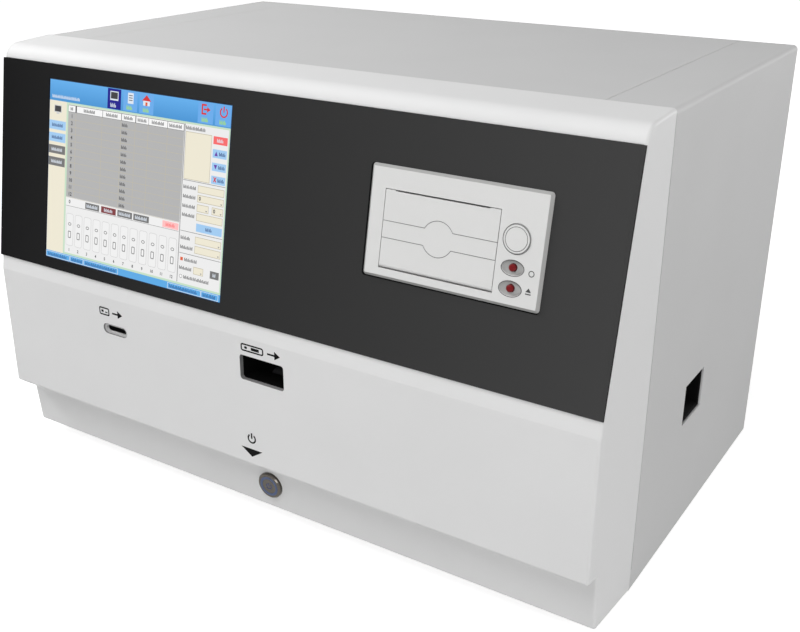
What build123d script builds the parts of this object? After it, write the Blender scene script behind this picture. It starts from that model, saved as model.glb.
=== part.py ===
from build123d import *
from math import atan, cos, pi, radians, sin, sqrt, tan
import os

os.makedirs("parts", exist_ok=True)

# Bench-top analyzer in millimetres: X to the right, Y to the back, Z up from the floor

# Overall body
body_width = 466.0
body_top = 299.2
floor_gap = 5.0
seam_y = -86.5
rear_y = 151.2
sheet = 1.2
bend_radius = 3.0
fit_gap = 0.3
run_gap = 0.05
half_width = body_width / 2

# Side outline of the front housing, from the seam forward and down
brow_reach = 36.4
brow_drop = 2.1
brow_radius = 11.0
slope_lean = 11.1
crease_height = 141.7
crease_radius = 4.0
chin_lean = 1.02
chin_height = 51.6
chin_radius = 2.5
recess_depth = 13.7
recess_drop = 1.7
recess_radius = 1.5
toe_set_back = 2.9
toe_height = 11.2
toe_radius = 2.5
housing_wall = 3.0
side_radius = 2.0
rim_width = 8.0
rim_thickness = 3.0

# Covers
seam_gap = 1.0
seam_gap_foot = 20.6
cover_step = 0.5
top_flange = 38.8
joggle_width = 12.0
joint_gap = 0.3
foot_flange = 14.0
tray_lip = 10.0
frame_border = 12.0

# Fascia, measured down the slope from its top edge
fascia_drop = 8.9
fascia_length = 139.2
fascia_half_width = 231.0
fascia_thickness = 2.2
fascia_proud = 1.1
seat_gap = 0.15

# Touch screen
screen_x = -104.45
screen_v = 70.7
screen_width = 161.7
screen_height = 122.4
glass_set = 0.3
module_side_margin = 10.65
module_end_margin = 7.8
module_depth = 9.0

# Panel printer
bezel_x = 135.35
bezel_v = 60.4
bezel_width = 109.7
bezel_height = 63.0
bezel_thickness = 3.1
bezel_proud = 1.9
bezel_chamfer = 1.7
bezel_corner = 2.0
bezel_gap = 0.8
door_x = 126.85
door_v = 63.9
door_window_width = 71.7
door_window_height = 44.4
door_gap = 0.35
barrel_radius = 2.0
hinge_pin_radius = 0.9
hinge_pin_length = 2.5
band_v = 64.1
band_height = 9.5
band_bulge_radius = 9.9
groove_width = 0.35
groove_depth = 0.3
paper_slot_width = 58.2
paper_slot_height = 0.5
tray_border = 2.5
tray_depth = 40.8
platen_radius = 4.0
platen_reach = 36.5
platen_depth = 6.9
platen_length = 57.0
platen_shaft_radius = 1.5
platen_arm = 3.0
head_thickness = 3.0
roll_radius = 13.0
roll_core_radius = 6.0
roll_reach = 16.25
roll_depth = 21.9

# Printer buttons
release_x = 173.2
release_v = 55.6
release_radius = 7.9
release_ring_radius = 6.35
release_proud = 0.6
release_travel = 1.5
small_button_x = 172.85
small_button_vs = (70.6, 81.6)
small_button_radius = 2.0
small_button_proud = 2.2
small_button_travel = 0.6
dish_width = 13.4
dish_height = 8.4
dish_depth = 1.0
button_gap = 0.3

# Lower face, measured down from the crease
port_x = 9.4
port_v = 20.5
port_width = 34.8
port_height = 17.0
port_corner = 2.0
id_x = -119.3
id_v = 22.75
id_recess_width = 22.6
id_recess_height = 7.4
id_recess_depth = 1.2
id_slot_width = 18.6
id_slot_height = 4.6
id_slot_depth = 24.0

# Power switch on the toe, measured down from the recess
switch_x = 0.0
switch_v = 20.1
switch_head_radius = 9.4
switch_head_height = 2.4
switch_barrel_radius = 8.0
switch_barrel_length = 28.0
switch_cap_radius = 5.8
switch_cap_length = 9.0
switch_travel = 1.5
light_ring_width = 0.8
light_ring_height = 1.5
switch_nut_across = 22.0
switch_nut_height = 3.0

# Card mechanism
carousel_y = 1.75
plate_thickness = 4.0
plate_left_margin = 3.4
plate_right_margin = 13.6
plate_back_margin = 8.25
plate_front_gap = 4.4
spindle_stand = 15.1
post_radius = 5.0
post_inset = 10.0
disc_radius = 118.0
disc_base = 4.0
slot_depth = 6.0
slot_count = 12
slot_width = 21.0
slot_inner_radius = 46.0
gear_module = 2.0
gear_teeth = 72
pinion_teeth = 18
pressure_angle = 20.0
backlash = 0.1
gear_height = 8.0
gear_hub_radius = 24.0
gear_rim = 5.0
flank_steps = 2
spindle_radius = 6.0
spindle_flange_radius = 20.0
bearing_radius = 14.0
bearing_height = 10.0
pinion_angle = 225.0
motor_shaft_radius = 2.5
motor_size = 42.0
motor_length = 34.0
guide_wall = 3.0
guide_gap = 0.4
roller_setback = 2.3
feed_roller_radius = 6.0
pinch_roller_radius = 4.0
roller_length = 14.0
roller_shaft_radius = 2.0
card_thickness = 5.0
feed_bite = 0.8
feed_motor_size = 24.0
feed_motor_length = 30.0

# Optics above the carousel
optics_width = 80.0
optics_wall = 4.0
optics_room = 24.0
optics_lip = 32.0
rail_radius = 3.0
rail_spacing = 48.0
rail_lift = 27.9
rail_run_out = 14.6
screw_radius = 2.5
head_width = 64.0
head_length = 30.0
head_height = 28.0
head_travel = 45.0
lens_radius = 8.0
lens_length = 6.4
scan_motor_size = 28.0
scan_motor_length = 30.0

# Ejector and used-card chute
outlet_width = 34.5
outlet_height = 27.7
outlet_z = 99.65
chute_wall = 1.5
chute_gap = 2.1
ejector_arm_lift = 36.9
ejector_arm_thickness = 8.0
ejector_arm_width = 18.0
ejector_arm_start = 32.0
ejector_leg = 4.0
ejector_leg_width = 8.0
ejector_rod_radius = 2.5
ejector_rod_drop = 7.0
ejector_lug_width = 12.0
ejector_block_length = 16.0
ejector_block_width = 14.0
ejector_block_height = 9.0
finger_width = 10.0
finger_thickness = 4.0
finger_gap = 0.6

# Rear panel
fan_edge = 83.0
fan_z = 205.0
fan_size = 80.0
fan_depth = 25.0
fan_duct_radius = 38.0
fan_hub_radius = 15.0
fan_blades = 7
fan_hole_pitch = 71.5
guard_stand = 4.8
guard_wire = 1.6
guard_post_radius = 3.2
guard_ring_inset = 2.0
guard_ring_pitch = 10.0
guard_ring_count = 3
inlet_edge = 48.0
inlet_z = 52.0
inlet_width = 28.0
inlet_height = 48.0
inlet_flange = 3.0
rocker_travel = 16.0
vent_edge = 123.0
vent_z = 215.0
vent_rows = 9
vent_columns = 3
vent_length = 26.0
vent_height = 3.0
vent_pitch = 8.0

# Electronics on the base pan
supply_clear = 11.3
supply_y = 28.0
supply_width = 98.0
supply_length = 120.0
supply_height = 42.0
board_edge = 116.0
board_width = 124.0
board_length = 150.0
board_thickness = 1.6
board_lift = 8.0
standoff_radius = 3.0

# Rear sockets: place from the board's middle, width and height
port_sizes = ((-47.0, 15.0, 8.0), (-21.0, 15.0, 8.0), (5.0, 17.0, 15.0), (37.0, 31.0, 12.0))
port_lift = 1.0
port_depth = 18.0

# Feet
foot_radius = 11.0
foot_inset = 38.0

# Heights and edges that follow from the sizes above
brow_y = seam_y - brow_reach
brow_z = body_top - brow_drop
crease_y = brow_y - (brow_z - crease_height) * tan(radians(slope_lean))
chin_y = crease_y - (crease_height - chin_height) * tan(radians(chin_lean))
recess_y = chin_y + recess_depth
recess_z = chin_height - recess_drop
toe_y = recess_y + toe_set_back
cover_top = body_top - cover_step
cover_front = seam_y + seam_gap
joint_x = half_width - top_flange
pan_bottom = floor_gap + sheet
pan_top = pan_bottom + sheet
pan_half = half_width - sheet - fit_gap
frame_half = pan_half - sheet - fit_gap
frame_top = cover_top - 2 * sheet
panel_y = rear_y - sheet
panel_inside_y = panel_y - sheet
pan_back = panel_y
fan_x = fan_edge - half_width
inlet_x = inlet_edge - half_width
vent_x = half_width - vent_edge
supply_x = supply_clear + supply_width / 2 + sheet - pan_half
board_x = half_width - board_edge - board_width / 2

# Planes of the sloping fascia, the lower face and the toe, each facing out
slope_up = Vector(0, sin(radians(slope_lean)), cos(radians(slope_lean)))
slope_out = Vector(0, -cos(radians(slope_lean)), sin(radians(slope_lean)))
fascia_top = Vector(0, brow_y, brow_z) - slope_up * fascia_drop + slope_out * fascia_proud
fascia_face = Plane(origin=fascia_top, x_dir=(1, 0, 0), z_dir=slope_out)
chin_out = Vector(0, -cos(radians(chin_lean)), sin(radians(chin_lean)))
lower_face = Plane(origin=(0, crease_y, crease_height), x_dir=(1, 0, 0), z_dir=chin_out)
toe_up = Vector(0, recess_y - toe_y, recess_z - toe_height).normalized()
toe_out = Vector(0, -toe_up.Z, toe_up.Y)
toe_face = Plane(origin=(0, recess_y, recess_z), x_dir=(1, 0, 0), z_dir=toe_out)
switch_face = Plane(
    origin=toe_face.from_local_coords((switch_x, -switch_v, 0)), x_dir=(1, 0, 0), z_dir=toe_out
)

# Height of the card path, shared by the port, the guide and the carousel
port_z = (lower_face.from_local_coords((port_x, -port_v, 0))).Z
path_z = port_z - port_height / 2 + guide_gap
disc_bottom = path_z - disc_base
gear_bottom = disc_bottom - gear_height
plate_top = gear_bottom - spindle_stand
plate_left = port_x - disc_radius - plate_left_margin
plate_right = port_x + disc_radius + plate_right_margin
plate_back = carousel_y + disc_radius + plate_back_margin
guide_front = crease_y + housing_wall
plate_front = guide_front + plate_front_gap
roller_y = (guide_front + carousel_y - disc_radius) / 2 + roller_setback
rail_height = path_z + rail_lift
optics_top = rail_height + optics_room
ejector_arm_height = path_z + ejector_arm_lift
chute_start_x = port_x + disc_radius + chute_gap
head_room = head_length + head_travel + 2 * sheet + rail_run_out
optics_front_y = plate_back - head_room - 2 * optics_wall


def front_outline(seam):
    """Corners and corner radii of the front housing's side outline, closed at a given seam."""
    top_z = body_top + (seam - seam_y) * brow_drop / brow_reach
    bottom_z = floor_gap + (seam - seam_y) * (floor_gap - toe_height) / (seam_y - toe_y)
    corners = [
        (seam, top_z),
        (brow_y, brow_z),
        (crease_y, crease_height),
        (chin_y, chin_height),
        (recess_y, recess_z),
        (toe_y, toe_height),
        (seam, bottom_z),
    ]
    radii = [0, brow_radius, crease_radius, chin_radius, recess_radius, toe_radius, 0]
    return corners, radii


# Front housing: a moulded shell with a rim at the seam
outer_corners, outer_radii = front_outline(seam_y)
inner_corners, inner_radii = front_outline(seam_y - rim_thickness + housing_wall)

with BuildPart() as front_housing:
    with BuildSketch(Plane.YZ):
        with BuildLine():
            FilletPolyline(*outer_corners, radius=outer_radii, close=True)
        make_face()
    extrude(amount=half_width, both=True)
    side_edges = front_housing.faces().sort_by(Axis.X)[0].edges()
    side_edges += front_housing.faces().sort_by(Axis.X)[-1].edges()
    fillet([edge for edge in side_edges if edge.center().Y < seam_y - fit_gap], side_radius)
    with BuildSketch(Plane.YZ):
        with BuildLine():
            FilletPolyline(*inner_corners, radius=inner_radii, close=True)
        make_face()
        offset(amount=-housing_wall)
    extrude(amount=half_width - housing_wall, both=True, mode=Mode.SUBTRACT)
    with BuildSketch(Plane.XZ.offset(-seam_y)):
        with Locations((0, (body_top + floor_gap) / 2)):
            Rectangle(
                2 * (half_width - housing_wall - rim_width),
                body_top - floor_gap - 2 * (housing_wall + rim_width),
            )
    extrude(amount=2 * rim_thickness, both=True, mode=Mode.SUBTRACT)
    # Seat of the fascia and the windows behind it
    with BuildSketch(fascia_face.offset(-fascia_thickness)):
        with Locations((0, -fascia_length / 2)):
            Rectangle(2 * (fascia_half_width + seat_gap), fascia_length + 2 * seat_gap)
    extrude(amount=fascia_thickness + fascia_proud, mode=Mode.SUBTRACT)
    with BuildSketch(fascia_face.offset(-fascia_thickness)):
        with Locations((screen_x, -screen_v)):
            Rectangle(screen_width, screen_height)
        with Locations((bezel_x, -bezel_v)):
            Rectangle(
                bezel_width - 2 * (tray_border - fit_gap), bezel_height - 2 * (tray_border - fit_gap)
            )
    extrude(amount=-2 * housing_wall, mode=Mode.SUBTRACT)
    # Card port and ID slot in the lower face
    with BuildSketch(lower_face):
        with Locations((port_x, -port_v)):
            RectangleRounded(port_width, port_height, port_corner)
        with Locations((id_x, -id_v)):
            SlotOverall(id_slot_width, id_slot_height)
    extrude(amount=-2 * housing_wall, mode=Mode.SUBTRACT)
    with BuildSketch(lower_face.offset(-id_recess_depth)):
        with Locations((id_x, -id_v)):
            SlotOverall(id_recess_width, id_recess_height)
    extrude(amount=2 * id_recess_depth, mode=Mode.SUBTRACT)
    # Hole of the power switch in the toe
    with BuildSketch(switch_face):
        Circle(switch_barrel_radius + fit_gap)
    extrude(amount=-2 * housing_wall, mode=Mode.SUBTRACT)
front_housing.part.label = "front_housing"
export_step(front_housing.part, "parts/front_housing.step")

# Black fascia with the screen window and the printer's stepped pocket
with BuildPart() as fascia_panel:
    with BuildSketch(fascia_face.offset(-fascia_thickness)):
        with Locations((0, -fascia_length / 2)):
            Rectangle(2 * fascia_half_width, fascia_length)
        with Locations((screen_x, -screen_v)):
            Rectangle(screen_width, screen_height, mode=Mode.SUBTRACT)
        with Locations((bezel_x, -bezel_v)):
            Rectangle(
                bezel_width - 2 * (tray_border - fit_gap),
                bezel_height - 2 * (tray_border - fit_gap),
                mode=Mode.SUBTRACT,
            )
    extrude(amount=fascia_thickness)
    with BuildSketch(fascia_face):
        with Locations((bezel_x, -bezel_v)):
            RectangleRounded(
                bezel_width + 2 * bezel_gap, bezel_height + 2 * bezel_gap, bezel_corner + bezel_gap
            )
    extrude(amount=-(bezel_thickness - bezel_proud), mode=Mode.SUBTRACT)
fascia_panel.part.label = "fascia_panel"
export_step(fascia_panel.part, "parts/fascia_panel.step")

# Touch glass, carried by the display module behind it
glass_thickness = fascia_proud + housing_wall - glass_set - fit_gap
housing_inside = -(fascia_proud + housing_wall)

with BuildPart() as touch_glass:
    with BuildSketch(fascia_face.offset(-glass_set)):
        with Locations((screen_x, -screen_v)):
            Rectangle(screen_width - 2 * seat_gap, screen_height - 2 * seat_gap)
    extrude(amount=-glass_thickness)
touch_glass.part.label = "touch_glass"
export_step(touch_glass.part, "parts/touch_glass.step")

module_width = screen_width + 2 * module_side_margin
module_height = screen_height + 2 * module_end_margin
module_board_width = 120.0
module_board_height = 60.0
module_board_depth = 4.0

with BuildPart() as lcd_module:
    with BuildSketch(fascia_face.offset(housing_inside)):
        with Locations((screen_x, -screen_v)):
            Rectangle(module_width, module_height)
    extrude(amount=-module_depth)
    with BuildSketch(fascia_face.offset(housing_inside - module_depth)):
        with Locations((screen_x, -screen_v)):
            Rectangle(module_board_width, module_board_height)
    extrude(amount=-module_board_depth)
lcd_module.part.label = "lcd_module"
export_step(lcd_module.part, "parts/lcd_module.step")

# Sheet bracket that clamps the display module to the housing
with BuildPart() as lcd_bracket:
    with BuildSketch(fascia_face.offset(housing_inside)):
        with Locations((screen_x, -screen_v)):
            Rectangle(module_width + 2 * (fit_gap + sheet), module_height + 2 * (fit_gap + sheet))
    extrude(amount=-(module_depth + sheet))
    with BuildSketch(fascia_face.offset(housing_inside)):
        with Locations((screen_x, -screen_v)):
            Rectangle(module_width + 2 * fit_gap, module_height + 2 * fit_gap)
    extrude(amount=-module_depth, mode=Mode.SUBTRACT)
    with BuildSketch(fascia_face.offset(housing_inside - module_depth)):
        with Locations((screen_x, -screen_v)):
            Rectangle(module_board_width + 2 * tray_lip, module_board_height + 2 * tray_lip)
    extrude(amount=-sheet, mode=Mode.SUBTRACT)
lcd_bracket.part.label = "lcd_bracket"
export_step(lcd_bracket.part, "parts/lcd_bracket.step")

# Printer bezel: a chamfered plate with the door's window and three button holes
bezel_back = bezel_proud - bezel_thickness
hinge_v = door_v + door_window_height / 2 - door_gap - barrel_radius
hinge_n = bezel_proud - barrel_radius
door_side = Plane(
    origin=fascia_face.from_local_coords((0, -hinge_v, hinge_n)), x_dir=slope_up, z_dir=(1, 0, 0)
)
door_width = door_window_width - 2 * door_gap
door_reach = hinge_v - (door_v - door_window_height / 2 + door_gap)

with BuildPart() as printer_bezel:
    with BuildSketch(fascia_face.offset(bezel_back)):
        with Locations((bezel_x, -bezel_v)):
            RectangleRounded(bezel_width, bezel_height, bezel_corner)
    extrude(amount=bezel_thickness)
    chamfer(printer_bezel.faces().sort_by(Axis(fascia_top, slope_out))[-1].edges(), bezel_chamfer)
    with BuildSketch(fascia_face.offset(bezel_back)):
        with Locations((door_x, -door_v)):
            Rectangle(door_window_width, door_window_height)
        with Locations((release_x, -release_v)):
            Circle(release_radius + button_gap)
        for button_v in small_button_vs:
            with Locations((small_button_x, -button_v)):
                Circle(small_button_radius + button_gap)
    extrude(amount=bezel_thickness, mode=Mode.SUBTRACT)
    for button_v in small_button_vs:
        with BuildSketch(fascia_face.offset(bezel_proud)):
            with Locations((small_button_x, -button_v)):
                Ellipse(dish_width / 2, dish_height / 2)
        with BuildSketch(fascia_face.offset(bezel_proud - dish_depth)):
            with Locations((small_button_x, -button_v)):
                Ellipse(dish_width / 2 - dish_depth, dish_height / 2 - dish_depth)
        loft(mode=Mode.SUBTRACT)
    with BuildSketch(door_side.offset(door_x)):
        Circle(hinge_pin_radius + run_gap)
    extrude(
        amount=door_window_width / 2 + hinge_pin_length, both=True, mode=Mode.SUBTRACT
    )
printer_bezel.part.label = "printer_bezel"
export_step(printer_bezel.part, "parts/printer_bezel.step")

# Printer door: swings out on two stub pins and carries the platen in two lugs
door_back = barrel_radius - bezel_thickness
arm_radius = platen_radius + 0.2
arm_x = platen_length / 2 + button_gap + platen_arm / 2

with BuildPart() as printer_door:
    with BuildSketch(door_side.offset(door_x - door_width / 2)):
        with Locations((door_reach / 2, (barrel_radius + door_back) / 2)):
            Rectangle(door_reach, bezel_thickness)
        Circle(barrel_radius)
    extrude(amount=door_width)
    with BuildSketch(door_side.offset(door_x - door_width / 2 - hinge_pin_length)):
        Circle(hinge_pin_radius)
    extrude(amount=door_width + 2 * hinge_pin_length)
    for side in (-1, 1):
        with BuildSketch(door_side.offset(door_x + side * arm_x)):
            with Locations((platen_reach, -platen_depth)):
                Circle(arm_radius)
            with Locations((platen_reach, (door_back - platen_depth) / 2)):
                Rectangle(2 * arm_radius, platen_depth + door_back)
        extrude(amount=platen_arm / 2, both=True)
    with BuildSketch(door_side.offset(door_x)):
        with Locations((platen_reach, -platen_depth)):
            Circle(platen_shaft_radius + run_gap)
    extrude(amount=door_width / 2, both=True, mode=Mode.SUBTRACT)
    # Paper slot along the top edge, and the scored outline of the grip band
    with BuildSketch(fascia_face.offset(bezel_proud)):
        with Locations((door_x, door_reach - hinge_v)):
            Rectangle(paper_slot_width, 2 * paper_slot_height)
    extrude(amount=-bezel_thickness, mode=Mode.SUBTRACT)
    with BuildSketch(fascia_face.offset(bezel_proud)):
        with Locations((door_x, -band_v)):
            Rectangle(door_width + groove_width, band_height + groove_width)
            Circle(band_bulge_radius + groove_width / 2)
            Rectangle(
                door_width + 2 * groove_width, band_height - groove_width, mode=Mode.SUBTRACT
            )
            Circle(band_bulge_radius - groove_width / 2, mode=Mode.SUBTRACT)
    extrude(amount=-groove_depth, mode=Mode.SUBTRACT)
printer_door.part.label = "printer_door"
export_step(printer_door.part, "parts/printer_door.step")

with BuildPart() as platen_shaft:
    with BuildSketch(door_side.offset(door_x)):
        with Locations((platen_reach, -platen_depth)):
            Circle(platen_shaft_radius)
    extrude(amount=arm_x + platen_arm / 2, both=True)
platen_shaft.part.label = "platen_shaft"
export_step(platen_shaft.part, "parts/platen_shaft.step")

with BuildPart() as platen_roller:
    with BuildSketch(door_side.offset(door_x)):
        with Locations((platen_reach, -platen_depth)):
            Circle(platen_radius)
            Circle(platen_shaft_radius + run_gap, mode=Mode.SUBTRACT)
    extrude(amount=platen_length / 2, both=True)
platen_roller.part.label = "platen_roller"
export_step(platen_roller.part, "parts/platen_roller.step")

# Printer tray: a paper bay with a round trough, and a bay for the button board
tray_width = bezel_width - 2 * tray_border
tray_height = bezel_height - 2 * tray_border
tray_wall = 1.5
head_shelf = platen_depth + platen_radius + fit_gap + head_thickness
trough_radius = roll_radius + fit_gap
bay_width = platen_length + 2 * button_gap
lug_bay_top = hinge_v - bezel_v + tray_height / 2 - tray_wall
board_bay_left = door_x + door_window_width / 2 + tray_wall
board_bay_right = bezel_x + tray_width / 2 - tray_wall
board_bay_depth = 26.0

with BuildPart() as printer_tray:
    with BuildSketch(fascia_face.offset(bezel_back)):
        with Locations((bezel_x, -bezel_v)):
            Rectangle(tray_width, tray_height)
    extrude(amount=-tray_depth)
    with BuildSketch(door_side.offset(door_x)):
        with Locations((lug_bay_top, door_back)):
            Rectangle(
                lug_bay_top - roll_reach - roll_radius, head_shelf + door_back,
                align=(Align.MAX, Align.MAX),
            )
        with Locations((-barrel_radius - door_gap, door_back)):
            Rectangle(
                lug_bay_top + barrel_radius, 2 * barrel_radius, align=(Align.MIN, Align.MAX)
            )
    extrude(amount=door_window_width / 2, both=True, mode=Mode.SUBTRACT)
    with BuildSketch(door_side.offset(door_x)):
        with Locations((roll_reach, door_back)):
            Rectangle(
                2 * trough_radius, roll_depth + door_back, align=(Align.CENTER, Align.MAX)
            )
        with Locations((roll_reach, -roll_depth)):
            Circle(trough_radius)
    extrude(amount=bay_width / 2, both=True, mode=Mode.SUBTRACT)
    with BuildSketch(fascia_face.offset(bezel_back)):
        with Locations(((board_bay_left + board_bay_right) / 2, -bezel_v)):
            Rectangle(board_bay_right - board_bay_left, tray_height - 2 * tray_wall)
    extrude(amount=-board_bay_depth, mode=Mode.SUBTRACT)
printer_tray.part.label = "printer_tray"
export_step(printer_tray.part, "parts/printer_tray.step")

with BuildPart() as print_head:
    with BuildSketch(door_side.offset(door_x)):
        with Locations((platen_reach, -head_shelf)):
            Rectangle(2 * arm_radius, head_thickness, align=(Align.CENTER, Align.MIN))
    extrude(amount=bay_width / 2, both=True)
print_head.part.label = "print_head"
export_step(print_head.part, "parts/print_head.step")

with BuildPart() as paper_roll:
    with BuildSketch(door_side.offset(door_x)):
        with Locations((roll_reach, -roll_depth)):
            Circle(roll_radius)
            Circle(roll_core_radius, mode=Mode.SUBTRACT)
    extrude(amount=platen_length / 2, both=True)
paper_roll.part.label = "paper_roll"
export_step(paper_roll.part, "parts/paper_roll.step")

# Button board at the back of its bay, with one switch under each button
flange_thickness = 1.0
switch_body = 6.0
switch_height = 3.5
board_face = bezel_back - board_bay_depth + board_thickness

with BuildPart() as printer_board:
    with BuildSketch(fascia_face.offset(bezel_back - board_bay_depth)):
        with Locations(((board_bay_left + board_bay_right) / 2, -bezel_v)):
            Rectangle(
                board_bay_right - board_bay_left - 2 * fit_gap,
                tray_height - 2 * tray_wall - 2 * fit_gap,
            )
    extrude(amount=board_thickness)
    with BuildSketch(fascia_face.offset(board_face)):
        for switch_at in (release_v, *small_button_vs):
            with Locations((small_button_x, -switch_at)):
                Rectangle(switch_body, switch_body)
    extrude(amount=switch_height)
printer_board.part.label = "printer_board"
export_step(printer_board.part, "parts/printer_board.step")

# Round release button and the two small red buttons: each is held in by a flange behind the bezel
switch_top = board_face + switch_height
flange_front = bezel_back - fit_gap

with BuildPart() as release_button:
    with BuildSketch(fascia_face.offset(bezel_proud + release_proud)):
        with Locations((release_x, -release_v)):
            Circle(release_radius)
    extrude(amount=-(bezel_proud + release_proud - flange_front))
    chamfer(
        release_button.faces().sort_by(Axis(fascia_top, slope_out))[-1].edges(), release_proud
    )
    with BuildSketch(fascia_face.offset(bezel_proud + release_proud)):
        with Locations((release_x, -release_v)):
            Circle(release_ring_radius + groove_width / 2)
            Circle(release_ring_radius - groove_width / 2, mode=Mode.SUBTRACT)
    extrude(amount=-groove_depth, mode=Mode.SUBTRACT)
    with BuildSketch(fascia_face.offset(flange_front)):
        with Locations((release_x, -release_v)):
            Circle(release_radius + flange_thickness)
    extrude(amount=-flange_thickness)
    with BuildSketch(fascia_face.offset(flange_front - flange_thickness)):
        with Locations((release_x, -release_v)):
            Circle(switch_body / 2)
    extrude(amount=-(flange_front - flange_thickness - switch_top - release_travel - fit_gap))
release_button.part.label = "release_button"
export_step(release_button.part, "parts/release_button.step")


def small_button(button_v):
    """Red button that stands in the middle of its dish."""
    tip = bezel_proud - dish_depth + small_button_proud
    with BuildPart() as button:
        with BuildSketch(fascia_face.offset(tip)):
            with Locations((small_button_x, -button_v)):
                Circle(small_button_radius)
        extrude(amount=-(tip - switch_top - small_button_travel - fit_gap))
        chamfer(
            button.faces().sort_by(Axis(fascia_top, slope_out))[-1].edges(),
            small_button_radius / 3,
        )
        with BuildSketch(fascia_face.offset(flange_front)):
            with Locations((small_button_x, -button_v)):
                Circle(small_button_radius + flange_thickness)
        extrude(amount=-flange_thickness)
    return button


sel_button = small_button(small_button_vs[0])
sel_button.part.label = "sel_button"
export_step(sel_button.part, "parts/sel_button.step")

feed_button = small_button(small_button_vs[1])
feed_button.part.label = "feed_button"
export_step(feed_button.part, "parts/feed_button.step")

# Metal push switch in the toe
ring_radius = switch_cap_radius + fit_gap
light_ring_radius = ring_radius + light_ring_width
head_edge = 0.8

with BuildPart() as power_switch_barrel:
    with BuildSketch(switch_face):
        Circle(switch_head_radius)
    extrude(amount=switch_head_height)
    chamfer(power_switch_barrel.faces().sort_by(Axis((0, 0, 0), toe_out))[-1].edges(), head_edge)
    with BuildSketch(switch_face):
        Circle(switch_barrel_radius)
    extrude(amount=-switch_barrel_length)
    with BuildSketch(switch_face.offset(switch_head_height)):
        Circle(ring_radius)
    extrude(amount=-(switch_cap_length + switch_travel + fit_gap), mode=Mode.SUBTRACT)
    with BuildSketch(switch_face.offset(switch_head_height)):
        Circle(light_ring_radius)
    extrude(amount=-light_ring_height, mode=Mode.SUBTRACT)
power_switch_barrel.part.label = "power_switch_barrel"
export_step(power_switch_barrel.part, "parts/power_switch_barrel.step")

with BuildPart() as power_light_ring:
    with BuildSketch(switch_face.offset(switch_head_height)):
        Circle(light_ring_radius)
        Circle(ring_radius, mode=Mode.SUBTRACT)
    extrude(amount=-light_ring_height)
power_light_ring.part.label = "power_light_ring"
export_step(power_light_ring.part, "parts/power_light_ring.step")

with BuildPart() as power_switch_cap:
    with BuildSketch(switch_face.offset(switch_head_height)):
        Circle(switch_cap_radius)
    extrude(amount=-switch_cap_length)
    chamfer(power_switch_cap.faces().sort_by(Axis((0, 0, 0), toe_out))[-1].edges(), groove_width)
power_switch_cap.part.label = "power_switch_cap"
export_step(power_switch_cap.part, "parts/power_switch_cap.step")

with BuildPart() as power_switch_nut:
    with BuildSketch(switch_face.offset(-housing_wall)):
        RegularPolygon(switch_nut_across / 2, 6, major_radius=False)
        Circle(switch_barrel_radius + run_gap, mode=Mode.SUBTRACT)
    extrude(amount=-switch_nut_height)
power_switch_nut.part.label = "power_switch_nut"
export_step(power_switch_nut.part, "parts/power_switch_nut.step")

# ID-card socket behind its slot, and its board
socket_wall = 3.0

with BuildPart() as id_card_socket:
    with BuildSketch(lower_face.offset(-housing_wall)):
        with Locations((id_x, -id_v)):
            Rectangle(id_slot_width + 2 * socket_wall, id_slot_height + 2 * socket_wall)
    extrude(amount=-(id_slot_depth + socket_wall))
    with BuildSketch(lower_face.offset(-housing_wall)):
        with Locations((id_x, -id_v)):
            Rectangle(id_slot_width, id_slot_height)
    extrude(amount=-id_slot_depth, mode=Mode.SUBTRACT)
id_card_socket.part.label = "id_card_socket"
export_step(id_card_socket.part, "parts/id_card_socket.step")

id_board_margin = 12.0

with BuildPart() as id_board:
    with BuildSketch(lower_face.offset(-housing_wall)):
        with Locations((id_x, -id_v - id_slot_height / 2 - socket_wall)):
            Rectangle(
                id_slot_width + 2 * socket_wall + 2 * id_board_margin, board_thickness,
                align=(Align.CENTER, Align.MAX),
            )
    extrude(amount=-(id_slot_depth + socket_wall + id_board_margin))
id_board.part.label = "id_board"
export_step(id_board.part, "parts/id_board.step")

# Base pan with upturned sides
with BuildPart() as base_pan:
    with BuildSketch(Plane.XY.offset(pan_bottom)):
        with Locations((0, (seam_y + pan_back) / 2)):
            Rectangle(2 * pan_half, pan_back - seam_y)
    extrude(amount=foot_flange)
    fillet(
        base_pan.edges().filter_by(Axis.Y).group_by(Axis.Z)[0], sheet
    )
    with BuildSketch(Plane.XY.offset(pan_top)):
        with Locations((0, (seam_y + pan_back) / 2)):
            Rectangle(2 * (pan_half - sheet), pan_back - seam_y)
    extrude(amount=foot_flange, mode=Mode.SUBTRACT)
    with BuildSketch(Plane.XY.offset(pan_bottom)):
        with GridLocations(3 * vent_pitch, vent_length + vent_pitch, 5, 3):
            Rectangle(vent_height, vent_length)
    extrude(amount=sheet, mode=Mode.SUBTRACT)
base_pan.part.label = "base_pan"
export_step(base_pan.part, "parts/base_pan.step")

with BuildPart() as rubber_feet:
    with BuildSketch(Plane.XY):
        with Locations((0, (seam_y + rear_y) / 2)):
            with GridLocations(
                2 * (half_width - foot_inset), rear_y - seam_y - 2 * foot_inset, 2, 2
            ):
                Circle(foot_radius)
    extrude(amount=pan_bottom)
rubber_feet.part.label = "rubber_feet"
export_step(rubber_feet.part, "parts/rubber_feet.step")


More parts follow.
